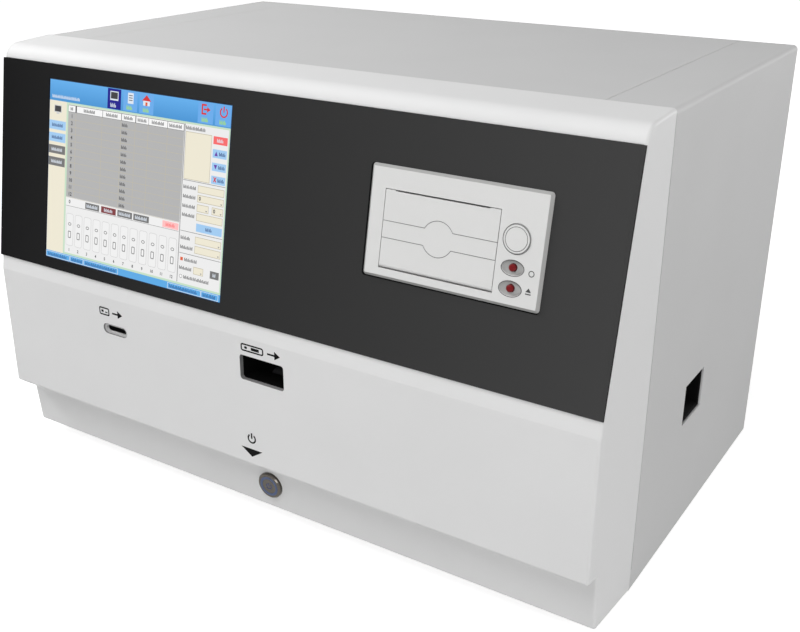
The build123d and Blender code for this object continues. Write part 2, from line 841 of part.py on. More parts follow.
def bent_tray(face_y, inward):
    """Upright sheet with its four edges bent to the given side, to close the body at one end."""
    depth = inward * tray_lip
    middle_z = (pan_top + frame_top) / 2
    with BuildPart() as tray:
        with BuildSketch(Plane.XZ.offset(-face_y)):
            with Locations((0, middle_z)):
                Rectangle(2 * frame_half, frame_top - pan_top)
        extrude(amount=-depth)
        fillet(tray.faces().sort_by(Axis.Y)[0 if inward > 0 else -1].edges(), sheet)
        with BuildSketch(Plane.XZ.offset(-face_y - inward * sheet)):
            with Locations((0, middle_z)):
                Rectangle(2 * (frame_half - sheet), frame_top - pan_top - 2 * sheet)
        extrude(amount=-depth, mode=Mode.SUBTRACT)
    return tray


# Front frame at the seam: the housing's rim and the covers' edges lie on it
with BuildPart() as front_frame:
    add(bent_tray(seam_y, 1).part)
    with BuildSketch(Plane.XZ.offset(-seam_y)):
        with Locations((0, (pan_top + frame_top) / 2)):
            Rectangle(
                2 * (frame_half - frame_border), frame_top - pan_top - 2 * frame_border
            )
    extrude(amount=-sheet, mode=Mode.SUBTRACT)
front_frame.part.label = "front_frame"
export_step(front_frame.part, "parts/front_frame.step")

# Side covers: one bent profile with a joggle that carries the top cover
cover_profile = [
    (half_width - foot_flange, floor_gap),
    (half_width, floor_gap),
    (half_width, cover_top),
    (joint_x, cover_top),
    (joint_x, cover_top - sheet),
    (joint_x - joggle_width, cover_top - sheet),
    (joint_x - joggle_width, cover_top - 2 * sheet),
    (joint_x + sheet, cover_top - 2 * sheet),
    (joint_x + sheet, cover_top - sheet),
    (half_width - sheet, cover_top - sheet),
    (half_width - sheet, pan_bottom),
    (half_width - foot_flange, pan_bottom),
]
cover_radii = [0, sheet, bend_radius, 0, 0, 0, 0, 0, 0, bend_radius - sheet, 0, 0]

with BuildPart() as cover_blank:
    with BuildSketch(Plane.XZ.offset(-seam_y)):
        with BuildLine():
            FilletPolyline(*cover_profile, radius=cover_radii, close=True)
        make_face()
    extrude(amount=-(rear_y - seam_y))
    with BuildSketch(Plane.YZ):
        with Locations((seam_y, seam_gap_foot)):
            Rectangle(seam_gap, body_top, align=(Align.MIN, Align.MIN))
    extrude(amount=2 * half_width, mode=Mode.SUBTRACT)

with BuildPart() as left_cover:
    add(cover_blank.part)
    mirror(about=Plane.YZ, mode=Mode.REPLACE)
left_cover.part.label = "left_cover"
export_step(left_cover.part, "parts/left_cover.step")

with BuildPart() as right_cover:
    add(cover_blank.part)
    with BuildSketch(Plane.YZ.offset(half_width)):
        with Locations((carousel_y, outlet_z)):
            Rectangle(outlet_width, outlet_height)
    extrude(amount=-2 * sheet, mode=Mode.SUBTRACT)
right_cover.part.label = "right_cover"
export_step(right_cover.part, "parts/right_cover.step")

with BuildPart() as top_cover:
    with BuildSketch(Plane.XY.offset(cover_top - sheet)):
        with Locations((0, cover_front)):
            Rectangle(
                2 * (joint_x - joint_gap), rear_y - cover_front, align=(Align.CENTER, Align.MIN)
            )
    extrude(amount=sheet)
    with BuildSketch(Plane.XY.offset(cover_top - sheet)):
        with Locations((0, panel_y)):
            Rectangle(
                2 * (joint_x - joggle_width - joint_gap), sheet, align=(Align.CENTER, Align.MIN)
            )
    extrude(amount=-tray_lip)
top_cover.part.label = "top_cover"
export_step(top_cover.part, "parts/top_cover.step")

# Places, widths and heights of the rear sockets, and the heights of the board that carries them
port_spots = [(board_x + offset, width, height) for offset, width, height in port_sizes]
board_bottom = pan_top + board_lift
board_top = board_bottom + board_thickness
fan_face = Plane(origin=(fan_x, panel_y, fan_z), x_dir=(-1, 0, 0), z_dir=(0, 1, 0))
inlet_face = Plane(origin=(inlet_x, panel_y, inlet_z), x_dir=(-1, 0, 0), z_dir=(0, 1, 0))
rear_face = Plane(origin=(0, panel_y, 0), x_dir=(-1, 0, 0), z_dir=(0, 1, 0))

with BuildPart() as rear_panel:
    add(bent_tray(panel_y, -1).part)
    with BuildSketch(fan_face):
        Circle(fan_duct_radius)
    extrude(amount=-sheet, mode=Mode.SUBTRACT)
    with BuildSketch(inlet_face):
        Rectangle(inlet_width, inlet_height)
    extrude(amount=-sheet, mode=Mode.SUBTRACT)
    with BuildSketch(rear_face):
        with Locations((-vent_x, vent_z)):
            with GridLocations(vent_length + vent_pitch, vent_pitch, vent_columns, vent_rows):
                Rectangle(vent_length, vent_height)
        for spot_x, spot_width, spot_height in port_spots:
            with Locations((-spot_x, board_top + port_lift + spot_height / 2)):
                Rectangle(spot_width + 2 * fit_gap, spot_height + 2 * fit_gap)
    extrude(amount=-sheet, mode=Mode.SUBTRACT)
rear_panel.part.label = "rear_panel"
export_step(rear_panel.part, "parts/rear_panel.step")

# Fan: frame with a duct and a strutted hub, rotor with swept blades, wire guard outside
fan_back = sheet + fan_depth
hub_plate = 3.0
fan_shaft_radius = 1.5
blade_gap = 0.8
blade_length = fan_duct_radius - fan_hub_radius - blade_gap
blade_thickness = 1.2
blade_chord = 14.0
blade_tilt = 35.0
rotor_depth = 16.0

with BuildPart() as fan_frame:
    with BuildSketch(fan_face.offset(-sheet)):
        RectangleRounded(fan_size, fan_size, bend_radius)
        Circle(fan_duct_radius, mode=Mode.SUBTRACT)
    extrude(amount=-fan_depth)
    with BuildSketch(fan_face.offset(-fan_back)):
        Circle(fan_hub_radius)
        with PolarLocations((fan_hub_radius + fan_duct_radius) / 2, 4, start_angle=45):
            Rectangle(fan_duct_radius - fan_hub_radius + hub_plate, hub_plate)
    extrude(amount=hub_plate)
    with BuildSketch(fan_face.offset(-fan_back)):
        Circle(fan_shaft_radius)
    extrude(amount=rotor_depth)
fan_frame.part.label = "fan_frame"
export_step(fan_frame.part, "parts/fan_frame.step")

rotor_plane = fan_face.offset(-fan_back + hub_plate + fit_gap)

with BuildPart() as fan_rotor:
    with BuildSketch(rotor_plane):
        Circle(fan_hub_radius)
        Circle(fan_shaft_radius + run_gap, mode=Mode.SUBTRACT)
    extrude(amount=rotor_depth)
    with Locations(rotor_plane.offset(rotor_depth / 2)):
        with PolarLocations(fan_hub_radius + blade_length / 2 - run_gap, fan_blades):
            Box(blade_length, blade_chord, blade_thickness, rotation=(blade_tilt, 0, 0))
    with BuildSketch(rotor_plane):
        Circle(fan_duct_radius - blade_gap)
        Circle(fan_shaft_radius + run_gap, mode=Mode.SUBTRACT)
    extrude(amount=rotor_depth, mode=Mode.INTERSECT)
fan_rotor.part.label = "fan_rotor"
export_step(fan_rotor.part, "parts/fan_rotor.step")

guard_rings = [
    fan_duct_radius - guard_ring_inset - guard_ring_pitch * ring
    for ring in range(guard_ring_count)
]
guard_reach = fan_hole_pitch * sqrt(0.5)

with BuildPart() as fan_guard:
    with BuildSketch(fan_face.offset(guard_stand - guard_wire)):
        for ring in guard_rings:
            Circle(ring + guard_wire / 2)
            Circle(ring - guard_wire / 2, mode=Mode.SUBTRACT)
        with PolarLocations((guard_rings[-1] + guard_reach) / 2, 4, start_angle=45):
            Rectangle(guard_reach - guard_rings[-1], guard_wire)
    extrude(amount=guard_wire)
    with BuildSketch(fan_face):
        with GridLocations(fan_hole_pitch, fan_hole_pitch, 2, 2):
            Circle(guard_post_radius)
    extrude(amount=guard_stand)
fan_guard.part.label = "fan_guard"
export_step(fan_guard.part, "parts/fan_guard.step")

# Mains inlet with its rocker switch above
inlet_rim = 3.0
inlet_depth = 30.0
plug_width = 24.4
plug_height = 16.8
plug_depth = 18.0
plug_drop = -13.0
rocker_rise = 12.5
rocker_width = 11.0
rocker_radius = 9.2
rocker_axis_depth = 4.0
rocker_face_rise = 4.4
rocker_back = 6.0
rocker_pin_radius = 1.5
rocker_pin_length = 2.0
pin_height = 14.0
pin_size = (2.0, 4.0)
pin_spots = ((-7.0, -15.0), (0.0, -11.0), (7.0, -15.0))

with BuildPart() as mains_inlet:
    with BuildSketch(inlet_face):
        RectangleRounded(
            inlet_width + 2 * inlet_rim, inlet_height + 2 * inlet_rim, inlet_rim
        )
    extrude(amount=inlet_flange)
    with BuildSketch(inlet_face):
        Rectangle(inlet_width - 2 * fit_gap, inlet_height - 2 * fit_gap)
    extrude(amount=-inlet_depth)
    with BuildSketch(inlet_face.offset(inlet_flange)):
        with Locations((0, plug_drop)):
            RectangleRounded(plug_width, plug_height, inlet_rim)
    extrude(amount=-plug_depth, mode=Mode.SUBTRACT)
    with BuildSketch(inlet_face.offset(inlet_flange)):
        with Locations((0, rocker_rise)):
            Rectangle(rocker_width + 2 * fit_gap, 2 * (rocker_radius + fit_gap))
    extrude(amount=-plug_depth, mode=Mode.SUBTRACT)
    with BuildSketch(Plane.YZ.offset(inlet_x)):
        with Locations((panel_y + inlet_flange - rocker_axis_depth, inlet_z + rocker_rise)):
            Circle(rocker_pin_radius + run_gap)
    extrude(
        amount=rocker_width / 2 + rocker_pin_length + fit_gap, both=True, mode=Mode.SUBTRACT
    )
mains_inlet.part.label = "mains_inlet"
export_step(mains_inlet.part, "parts/mains_inlet.step")

with BuildPart() as inlet_pins:
    with BuildSketch(inlet_face.offset(inlet_flange - plug_depth)):
        with Locations(*pin_spots):
            Rectangle(*pin_size)
    extrude(amount=pin_height)
inlet_pins.part.label = "inlet_pins"
export_step(inlet_pins.part, "parts/inlet_pins.step")

# Rocker: a drum on two stub pins, its face cut to a shallow vee and resting at its off side
rocker_side = Plane(
    origin=inlet_face.from_local_coords((0, rocker_rise, inlet_flange - rocker_axis_depth)),
    x_dir=(0, 0, 1),
    z_dir=(1, 0, 0),
)
rocker_tilt = radians(rocker_travel / 2)
rocker_tilted = Plane(
    origin=rocker_side.origin, x_dir=(0, -sin(rocker_tilt), cos(rocker_tilt)), z_dir=(1, 0, 0)
)

with BuildPart() as mains_rocker:
    with BuildSketch(rocker_tilted):
        Circle(rocker_radius)
        with Locations((0, rocker_back)):
            Rectangle(2 * rocker_radius, rocker_radius, align=(Align.CENTER, Align.MIN),
                      mode=Mode.SUBTRACT)
        for side in (-1, 1):
            with Locations(Location((0, -rocker_face_rise), (0, 0, side * rocker_travel / 2))):
                Rectangle(
                    2 * rocker_radius, rocker_radius,
                    align=(Align.MIN if side < 0 else Align.MAX, Align.MAX), mode=Mode.SUBTRACT,
                )
    extrude(amount=rocker_width / 2, both=True)
    with BuildSketch(rocker_side):
        Circle(rocker_pin_radius)
    extrude(amount=rocker_width / 2 + rocker_pin_length, both=True)
mains_rocker.part.label = "mains_rocker"
export_step(mains_rocker.part, "parts/mains_rocker.step")

# Power supply on the base pan
terminal_height = 14.0
terminal_depth = 12.0

with BuildPart() as power_supply:
    with BuildSketch(Plane.XY.offset(pan_top)):
        with Locations((supply_x, supply_y)):
            Rectangle(supply_width, supply_length)
    extrude(amount=supply_height)
    fillet(power_supply.edges().filter_by(Axis.Y).group_by(Axis.Z)[-1], bend_radius)
    with BuildSketch(Plane.XY.offset(pan_top + supply_height)):
        with Locations((supply_x, supply_y)):
            with GridLocations(vent_pitch, vent_length + vent_pitch, 8, 2):
                Rectangle(vent_height, vent_length)
    extrude(amount=-sheet, mode=Mode.SUBTRACT)
    with BuildSketch(Plane.XY.offset(pan_top)):
        with Locations((supply_x, supply_y + (supply_length + terminal_depth) / 2)):
            Rectangle(supply_width - 2 * tray_lip, terminal_depth)
    extrude(amount=terminal_height)
power_supply.part.label = "power_supply"
export_step(power_supply.part, "parts/power_supply.step")

# Main board on four standoffs, its sockets reaching out through the rear panel
board_back = panel_inside_y - fit_gap
board_y = board_back - board_length / 2
standoff_inset = 6.0
chip_spots = (
    (-35.0, -30.0, 28.0, 28.0, 3.0),
    (15.0, -10.0, 24.0, 24.0, 12.0),
    (45.0, -40.0, 18.0, 30.0, 8.0),
    (-25.0, 30.0, 16.0, 40.0, 4.0),
)

with BuildPart() as board_standoffs:
    with BuildSketch(Plane.XY.offset(pan_top)):
        with Locations((board_x, board_y)):
            with GridLocations(
                board_width - 2 * standoff_inset, board_length - 6 * standoff_inset, 2, 2
            ):
                RegularPolygon(standoff_radius, 6)
    extrude(amount=board_lift)
board_standoffs.part.label = "board_standoffs"
export_step(board_standoffs.part, "parts/board_standoffs.step")

with BuildPart() as main_board:
    with BuildSketch(Plane.XY.offset(board_bottom)):
        with Locations((board_x, board_y)):
            Rectangle(board_width, board_length)
    extrude(amount=board_thickness)
    for chip_x, chip_y, chip_width, chip_length, chip_height in chip_spots:
        with BuildSketch(Plane.XY.offset(board_top)):
            with Locations((board_x + chip_x, board_y + chip_y)):
                Rectangle(chip_width, chip_length)
        extrude(amount=chip_height)
main_board.part.label = "main_board"
export_step(main_board.part, "parts/main_board.step")

port_reach = 0.8
port_shell = 0.9

with BuildPart() as io_ports:
    for spot_x, spot_width, spot_height in port_spots:
        with BuildSketch(rear_face.offset(port_reach)):
            with Locations((-spot_x, board_top + port_lift + spot_height / 2)):
                Rectangle(spot_width, spot_height)
        extrude(amount=-port_depth)
        with BuildSketch(rear_face.offset(port_reach)):
            with Locations((-spot_x, board_top + port_lift + spot_height / 2)):
                Rectangle(spot_width - 2 * port_shell, spot_height - 2 * port_shell)
        extrude(amount=-(port_depth - 4 * port_shell), mode=Mode.SUBTRACT)
        with BuildSketch(Plane.XY.offset(board_top)):
            with Locations((spot_x, panel_y + port_reach - port_depth / 2 - 2 * sheet)):
                Rectangle(spot_width - 2 * port_shell, port_depth / 2)
        extrude(amount=port_lift)
io_ports.part.label = "io_ports"
export_step(io_ports.part, "parts/io_ports.step")

# Mechanism plate on four posts
plate_bottom = plate_top - plate_thickness
plate_x = (plate_left + plate_right) / 2
plate_y = (plate_front + plate_back) / 2
post_spots = [
    (x, y)
    for x in (plate_left + post_inset, plate_right - post_inset)
    for y in (seam_y + 2 * post_inset, plate_back - post_inset)
]
pinion_pitch = gear_module * pinion_teeth / 2
gear_pitch = gear_module * gear_teeth / 2
mesh_distance = gear_pitch + pinion_pitch
pinion_x = port_x + mesh_distance * cos(radians(pinion_angle))
pinion_y = carousel_y + mesh_distance * sin(radians(pinion_angle))
motor_boss_radius = 11.0
motor_boss_height = 2.0

with BuildPart() as plate_posts:
    with BuildSketch(Plane.XY.offset(pan_top)):
        with Locations(*post_spots):
            RegularPolygon(post_radius, 6)
    extrude(amount=plate_bottom - pan_top)
plate_posts.part.label = "plate_posts"
export_step(plate_posts.part, "parts/plate_posts.step")

with BuildPart() as mechanism_plate:
    with BuildSketch(Plane.XY.offset(plate_bottom)):
        with Locations((plate_x, plate_y)):
            RectangleRounded(
                plate_right - plate_left, plate_back - plate_front, post_inset
            )
        with Locations((pinion_x, pinion_y)):
            Circle(motor_boss_radius + fit_gap, mode=Mode.SUBTRACT)
    extrude(amount=plate_thickness)
mechanism_plate.part.label = "mechanism_plate"
export_step(mechanism_plate.part, "parts/mechanism_plate.step")

# Carousel: spindle, bearing and a slotted disc with a toothed ring below
with BuildPart() as carousel_spindle:
    with BuildSketch(Plane.XY.offset(plate_top)):
        with Locations((port_x, carousel_y)):
            Circle(spindle_flange_radius)
    extrude(amount=plate_thickness)
    with BuildSketch(Plane.XY.offset(plate_top)):
        with Locations((port_x, carousel_y)):
            Circle(spindle_radius + 2 * sheet)
    extrude(amount=gear_bottom - plate_top)
    with BuildSketch(Plane.XY.offset(gear_bottom)):
        with Locations((port_x, carousel_y)):
            Circle(spindle_radius)
    extrude(amount=bearing_height)
carousel_spindle.part.label = "carousel_spindle"
export_step(carousel_spindle.part, "parts/carousel_spindle.step")

with BuildPart() as carousel_bearing:
    with BuildSketch(Plane.XY.offset(gear_bottom)):
        with Locations((port_x, carousel_y)):
            Circle(bearing_radius)
            Circle(spindle_radius + run_gap, mode=Mode.SUBTRACT)
    extrude(amount=bearing_height)
carousel_bearing.part.label = "carousel_bearing"
export_step(carousel_bearing.part, "parts/carousel_bearing.step")


def involute(radius, base):
    """Angle in radians by which an involute turns between its base circle and a radius."""
    reach = (radius / base) ** 2 - 1
    return sqrt(max(reach, 0)) - atan(sqrt(max(reach, 0)))


def tooth_outline(teeth):
    """Outline of one involute tooth along +X from its gear's centre, from root to tip and back."""
    pitch = gear_module * teeth / 2
    base = pitch * cos(radians(pressure_angle))
    root = pitch - 1.25 * gear_module
    tip = pitch + 0.9 * gear_module
    start = max(base, root)
    half_angle = pi / (2 * teeth) - backlash / pitch + involute(pitch, base)
    flank = [start + (tip - start) * step / flank_steps for step in range(flank_steps + 1)]
    side = [(radius, half_angle - involute(radius, base)) for radius in flank]
    side = [(root - backlash, side[0][1])] + side
    corners = side + [(radius, -angle) for radius, angle in reversed(side)]
    return [(radius * cos(angle), radius * sin(angle)) for radius, angle in corners]


with BuildSketch() as gear_tooth:
    with BuildLine():
        Polyline(*tooth_outline(gear_teeth), close=True)
    make_face()

with BuildSketch() as pinion_tooth:
    with BuildLine():
        Polyline(*tooth_outline(pinion_teeth), close=True)
    make_face()

with BuildPart() as carousel_disc:
    with BuildSketch(Plane.XY.offset(disc_bottom)):
        with Locations((port_x, carousel_y)):
            Circle(disc_radius)
    extrude(amount=disc_base + slot_depth)
    with BuildSketch(Plane.XY.offset(path_z)):
        with Locations((port_x, carousel_y)):
            Circle(slot_inner_radius)
            with PolarLocations((slot_inner_radius + disc_radius) / 2, slot_count):
                Rectangle(disc_radius, slot_width)
    extrude(amount=slot_depth, mode=Mode.SUBTRACT)
    with BuildSketch(Plane.XY.offset(gear_bottom)):
        with Locations((port_x, carousel_y)):
            Circle(gear_pitch - 1.25 * gear_module)
            with PolarLocations(0, gear_teeth):
                add(gear_tooth.sketch)
            Circle(gear_pitch - gear_rim * gear_module, mode=Mode.SUBTRACT)
            Circle(gear_hub_radius)
    extrude(amount=gear_height)
    with BuildSketch(Plane.XY.offset(gear_bottom)):
        with Locations((port_x, carousel_y)):
            Circle(bearing_radius + run_gap)
    extrude(amount=bearing_height, mode=Mode.SUBTRACT)
carousel_disc.part.label = "carousel_disc"
export_step(carousel_disc.part, "parts/carousel_disc.step")

# Pinion on its motor's shaft, in mesh with the disc's ring
pinion_start = pinion_angle + 180 + 180 / pinion_teeth
shaft_seat = 12.0

with BuildPart() as carousel_pinion:
    with BuildSketch(Plane.XY.offset(gear_bottom)):
        with Locations((pinion_x, pinion_y)):
            Circle(pinion_pitch - 1.25 * gear_module)
            with PolarLocations(0, pinion_teeth, start_angle=pinion_start):
                add(pinion_tooth.sketch)
    extrude(amount=gear_height)
    with BuildSketch(Plane.XY.offset(plate_bottom + motor_boss_height - shaft_seat)):
        with Locations((pinion_x, pinion_y)):
            Circle(motor_shaft_radius)
    extrude(amount=gear_bottom - plate_bottom - motor_boss_height + shaft_seat)
carousel_pinion.part.label = "carousel_pinion"
export_step(carousel_pinion.part, "parts/carousel_pinion.step")

with BuildPart() as carousel_motor:
    with BuildSketch(Plane.XY.offset(plate_bottom)):
        with Locations((pinion_x, pinion_y)):
            Rectangle(motor_size, motor_size)
    extrude(amount=-motor_length)
    chamfer(carousel_motor.edges().filter_by(Axis.Z), bend_radius)
    with BuildSketch(Plane.XY.offset(plate_bottom)):
        with Locations((pinion_x, pinion_y)):
            Circle(motor_boss_radius)
    extrude(amount=motor_boss_height)
    with BuildSketch(Plane.XY.offset(plate_bottom + motor_boss_height)):
        with Locations((pinion_x, pinion_y)):
            Circle(motor_shaft_radius + run_gap)
    extrude(amount=-(shaft_seat + fit_gap), mode=Mode.SUBTRACT)
carousel_motor.part.label = "carousel_motor"
export_step(carousel_motor.part, "parts/carousel_motor.step")

# Card guide: a tunnel behind the port with two cheeks down to the plate
guide_back = carousel_y - disc_radius - guide_wall / 2
guide_width = port_width - 2 * guide_gap
guide_height = port_height - 2 * guide_gap
guide_half = guide_width / 2 + guide_wall
cheek_half = roller_shaft_radius + guide_wall + feed_roller_radius
feed_z = path_z - feed_roller_radius + feed_bite
pinch_z = path_z + card_thickness + pinch_roller_radius + run_gap
guide_plane = Plane.XZ.offset(-guide_front)
roller_side = Plane.YZ.offset(port_x)

with BuildPart() as card_guide:
    with BuildSketch(guide_plane):
        with Locations((port_x, port_z)):
            Rectangle(2 * guide_half, guide_height + 2 * guide_wall)
    extrude(amount=guide_front - guide_back)
    with BuildSketch(Plane.XY.offset(plate_top)):
        with Locations((port_x, roller_y)):
            Rectangle(2 * guide_half, 2 * cheek_half)
            Rectangle(guide_width, 3 * cheek_half, mode=Mode.SUBTRACT)
    extrude(amount=port_z - plate_top)
    with BuildSketch(guide_plane):
        with Locations((port_x, port_z)):
            Rectangle(guide_width, guide_height)
    extrude(amount=guide_front - guide_back, mode=Mode.SUBTRACT)
    with BuildSketch(Plane.XY.offset(path_z)):
        with Locations((port_x, roller_y)):
            Rectangle(roller_length + 2 * fit_gap, 2 * (feed_roller_radius + fit_gap))
    extrude(amount=-2 * guide_wall, mode=Mode.SUBTRACT)
    with BuildSketch(roller_side):
        with Locations((roller_y, feed_z), (roller_y, pinch_z)):
            Circle(roller_shaft_radius + run_gap)
    extrude(amount=2 * guide_half, both=True, mode=Mode.SUBTRACT)
card_guide.part.label = "card_guide"
export_step(card_guide.part, "parts/card_guide.step")

roller_seat = 10.0

with BuildPart() as feed_roller:
    with BuildSketch(roller_side):
        with Locations((roller_y, feed_z)):
            Circle(feed_roller_radius)
    extrude(amount=roller_length / 2, both=True)
    with BuildSketch(roller_side.offset(-guide_half)):
        with Locations((roller_y, feed_z)):
            Circle(roller_shaft_radius)
    extrude(amount=2 * guide_half + roller_seat)
feed_roller.part.label = "feed_roller"
export_step(feed_roller.part, "parts/feed_roller.step")

with BuildPart() as pinch_roller:
    with BuildSketch(roller_side):
        with Locations((roller_y, pinch_z)):
            Circle(pinch_roller_radius)
    extrude(amount=roller_length / 2, both=True)
    with BuildSketch(roller_side):
        with Locations((roller_y, pinch_z)):
            Circle(roller_shaft_radius)
    extrude(amount=guide_half, both=True)
pinch_roller.part.label = "pinch_roller"
export_step(pinch_roller.part, "parts/pinch_roller.step")

with BuildPart() as feed_motor:
    with BuildSketch(roller_side.offset(guide_half)):
        with Locations((roller_y, feed_z)):
            RectangleRounded(feed_motor_size, feed_motor_size, bend_radius)
    extrude(amount=feed_motor_length)
    with BuildSketch(roller_side.offset(guide_half)):
        with Locations((roller_y, feed_z)):
            Circle(roller_shaft_radius + run_gap)
    extrude(amount=roller_seat + fit_gap, mode=Mode.SUBTRACT)
feed_motor.part.label = "feed_motor"
export_step(feed_motor.part, "parts/feed_motor.step")

# Optics frame: a bracket that reaches forward over the carousel and holds the rails
optics_back_y = plate_back
optics_inner_back = optics_back_y - optics_wall
optics_inner_front = optics_front_y + optics_wall

with BuildPart() as optics_frame:
    with BuildSketch(Plane.YZ.offset(port_x)):
        with BuildLine():
            Polyline(
                (optics_back_y, plate_top),
                (optics_back_y, optics_top),
                (optics_front_y, optics_top),
                (optics_front_y, optics_top - optics_lip),
                (optics_inner_front, optics_top - optics_lip),
                (optics_inner_front, optics_top - optics_wall),
                (optics_inner_back, optics_top - optics_wall),
                (optics_inner_back, plate_top),
                close=True,
            )
        make_face()
    extrude(amount=optics_width / 2, both=True)
    with BuildSketch(Plane.XZ.offset(-optics_inner_front)):
        with Locations((port_x, rail_height)):
            Circle(screw_radius + run_gap)
    extrude(amount=optics_wall, mode=Mode.SUBTRACT)
    with BuildSketch(Plane.XY.offset(optics_top)):
        with Locations((port_x, (optics_front_y + optics_back_y) / 2)):
            SlotOverall(optics_width - 2 * tray_lip, 2 * tray_lip)
    extrude(amount=-optics_wall, mode=Mode.SUBTRACT)
optics_frame.part.label = "optics_frame"
export_step(optics_frame.part, "parts/optics_frame.step")

# Ejector bracket: two legs beside the chute, a beam, and an arm with lugs for the rod
ejector_x = port_x + disc_radius + ejector_leg
arm_bottom = ejector_arm_height - ejector_arm_thickness
rod_z = arm_bottom - ejector_rod_drop
arm_start = port_x + ejector_arm_start
leg_inner = outlet_width / 2 + ejector_leg
rod_start = arm_start + ejector_leg
beam_half = leg_inner + ejector_leg

with BuildPart() as ejector_bracket:
    with BuildSketch(Plane.YZ.offset(ejector_x)):
        with Locations((carousel_y, plate_top)):
            Rectangle(
                2 * beam_half, ejector_arm_height - plate_top, align=(Align.CENTER, Align.MIN)
            )
            Rectangle(
                2 * leg_inner, arm_bottom - plate_top, align=(Align.CENTER, Align.MIN),
                mode=Mode.SUBTRACT,
            )
    extrude(amount=ejector_leg_width)
    with BuildSketch(Plane.YZ.offset(arm_start)):
        with Locations((carousel_y, arm_bottom)):
            Rectangle(
                ejector_arm_width, ejector_arm_thickness, align=(Align.CENTER, Align.MIN)
            )
    extrude(amount=ejector_x - arm_start)
    for lug_x in (arm_start, ejector_x):
        with BuildSketch(Plane.YZ.offset(lug_x)):
            with Locations((carousel_y, rod_z)):
                SlotOverall(2 * ejector_lug_width, ejector_lug_width, rotation=90)
            with Locations((carousel_y, arm_bottom)):
                Rectangle(
                    2 * ejector_lug_width, 2 * ejector_lug_width,
                    align=(Align.CENTER, Align.MIN), mode=Mode.SUBTRACT,
                )
        extrude(amount=ejector_leg)
ejector_bracket.part.label = "ejector_bracket"
export_step(ejector_bracket.part, "parts/ejector_bracket.step")

with BuildPart() as guide_rails:
    with BuildSketch(Plane.XZ.offset(-optics_inner_front)):
        with Locations((port_x, rail_height)):
            with GridLocations(rail_spacing, 1, 2, 1):
                Circle(rail_radius)
    extrude(amount=-(optics_inner_back - optics_inner_front))
    with BuildSketch(Plane.YZ.offset(rod_start)):
        with Locations((carousel_y, rod_z)):
            Circle(ejector_rod_radius)
    extrude(amount=ejector_x - rod_start)
guide_rails.part.label = "guide_rails"
export_step(guide_rails.part, "parts/guide_rails.step")

# Optical head on its two rails, with the lens that looks down on the card
head_start = optics_inner_front + 2 * sheet
head_bottom = rail_height - head_height / 2
head_y = head_start + head_length / 2

with BuildPart() as optical_head:
    with BuildSketch(Plane.XY.offset(head_bottom)):
        with Locations((port_x, head_y)):
            Rectangle(head_width, head_length)
    extrude(amount=head_height)
    chamfer(optical_head.edges().filter_by(Axis.Z), sheet)
    with BuildSketch(Plane.XZ.offset(-head_start)):
        with Locations((port_x, rail_height)):
            with GridLocations(rail_spacing, 1, 2, 1):
                Circle(rail_radius + run_gap)
            Circle(screw_radius + run_gap)
    extrude(amount=-head_length, mode=Mode.SUBTRACT)
optical_head.part.label = "optical_head"
export_step(optical_head.part, "parts/optical_head.step")

with BuildPart() as lens:
    with BuildSketch(Plane.XY.offset(head_bottom)):
        with Locations((port_x, head_y)):
            Circle(lens_radius)
    extrude(amount=-lens_length)
    chamfer(lens.edges().group_by(Axis.Z)[0], sheet)
lens.part.label = "lens"
export_step(lens.part, "parts/lens.step")

with BuildPart() as scan_screw:
    with BuildSketch(Plane.XZ.offset(-(optics_front_y - roller_seat))):
        with Locations((port_x, rail_height)):
            Circle(screw_radius)
    extrude(amount=-(optics_inner_back - fit_gap - optics_front_y + roller_seat))
scan_screw.part.label = "scan_screw"
export_step(scan_screw.part, "parts/scan_screw.step")

with BuildPart() as scan_motor:
    with BuildSketch(Plane.XZ.offset(-optics_front_y)):
        with Locations((port_x, rail_height)):
            RectangleRounded(scan_motor_size, scan_motor_size, bend_radius)
    extrude(amount=scan_motor_length)
    with BuildSketch(Plane.XZ.offset(-optics_front_y)):
        with Locations((port_x, rail_height)):
            Circle(screw_radius + run_gap)
    extrude(amount=roller_seat + fit_gap, mode=Mode.SUBTRACT)
scan_motor.part.label = "scan_motor"
export_step(scan_motor.part, "parts/scan_motor.step")

# Ejector: a block on the rod with a finger down into the card's slot
block_start = rod_start + 2 * fit_gap

with BuildPart() as ejector:
    with BuildSketch(Plane.YZ.offset(block_start)):
        with Locations((carousel_y, rod_z)):
            Rectangle(ejector_block_width, ejector_block_height)
    extrude(amount=ejector_block_length)
    with BuildSketch(Plane.XY.offset(path_z + finger_gap)):
        with Locations((block_start, carousel_y)):
            Rectangle(finger_thickness, finger_width, align=(Align.MIN, Align.CENTER))
    extrude(amount=rod_z - ejector_rod_radius - sheet - path_z - finger_gap)
    with BuildSketch(Plane.YZ.offset(block_start)):
        with Locations((carousel_y, rod_z)):
            Circle(ejector_rod_radius + run_gap)
    extrude(amount=ejector_block_length, mode=Mode.SUBTRACT)
ejector.part.label = "ejector"
export_step(ejector.part, "parts/ejector.step")

# Chute from the carousel's edge down to the outlet in the right cover
chute_end_x = half_width - sheet - fit_gap
chute_top_z = path_z - 2 * fit_gap
chute_low_z = outlet_z - outlet_height / 2 + fit_gap + chute_wall
chute_side = outlet_height - chute_wall - 2 * fit_gap
chute_half = outlet_width / 2 - fit_gap

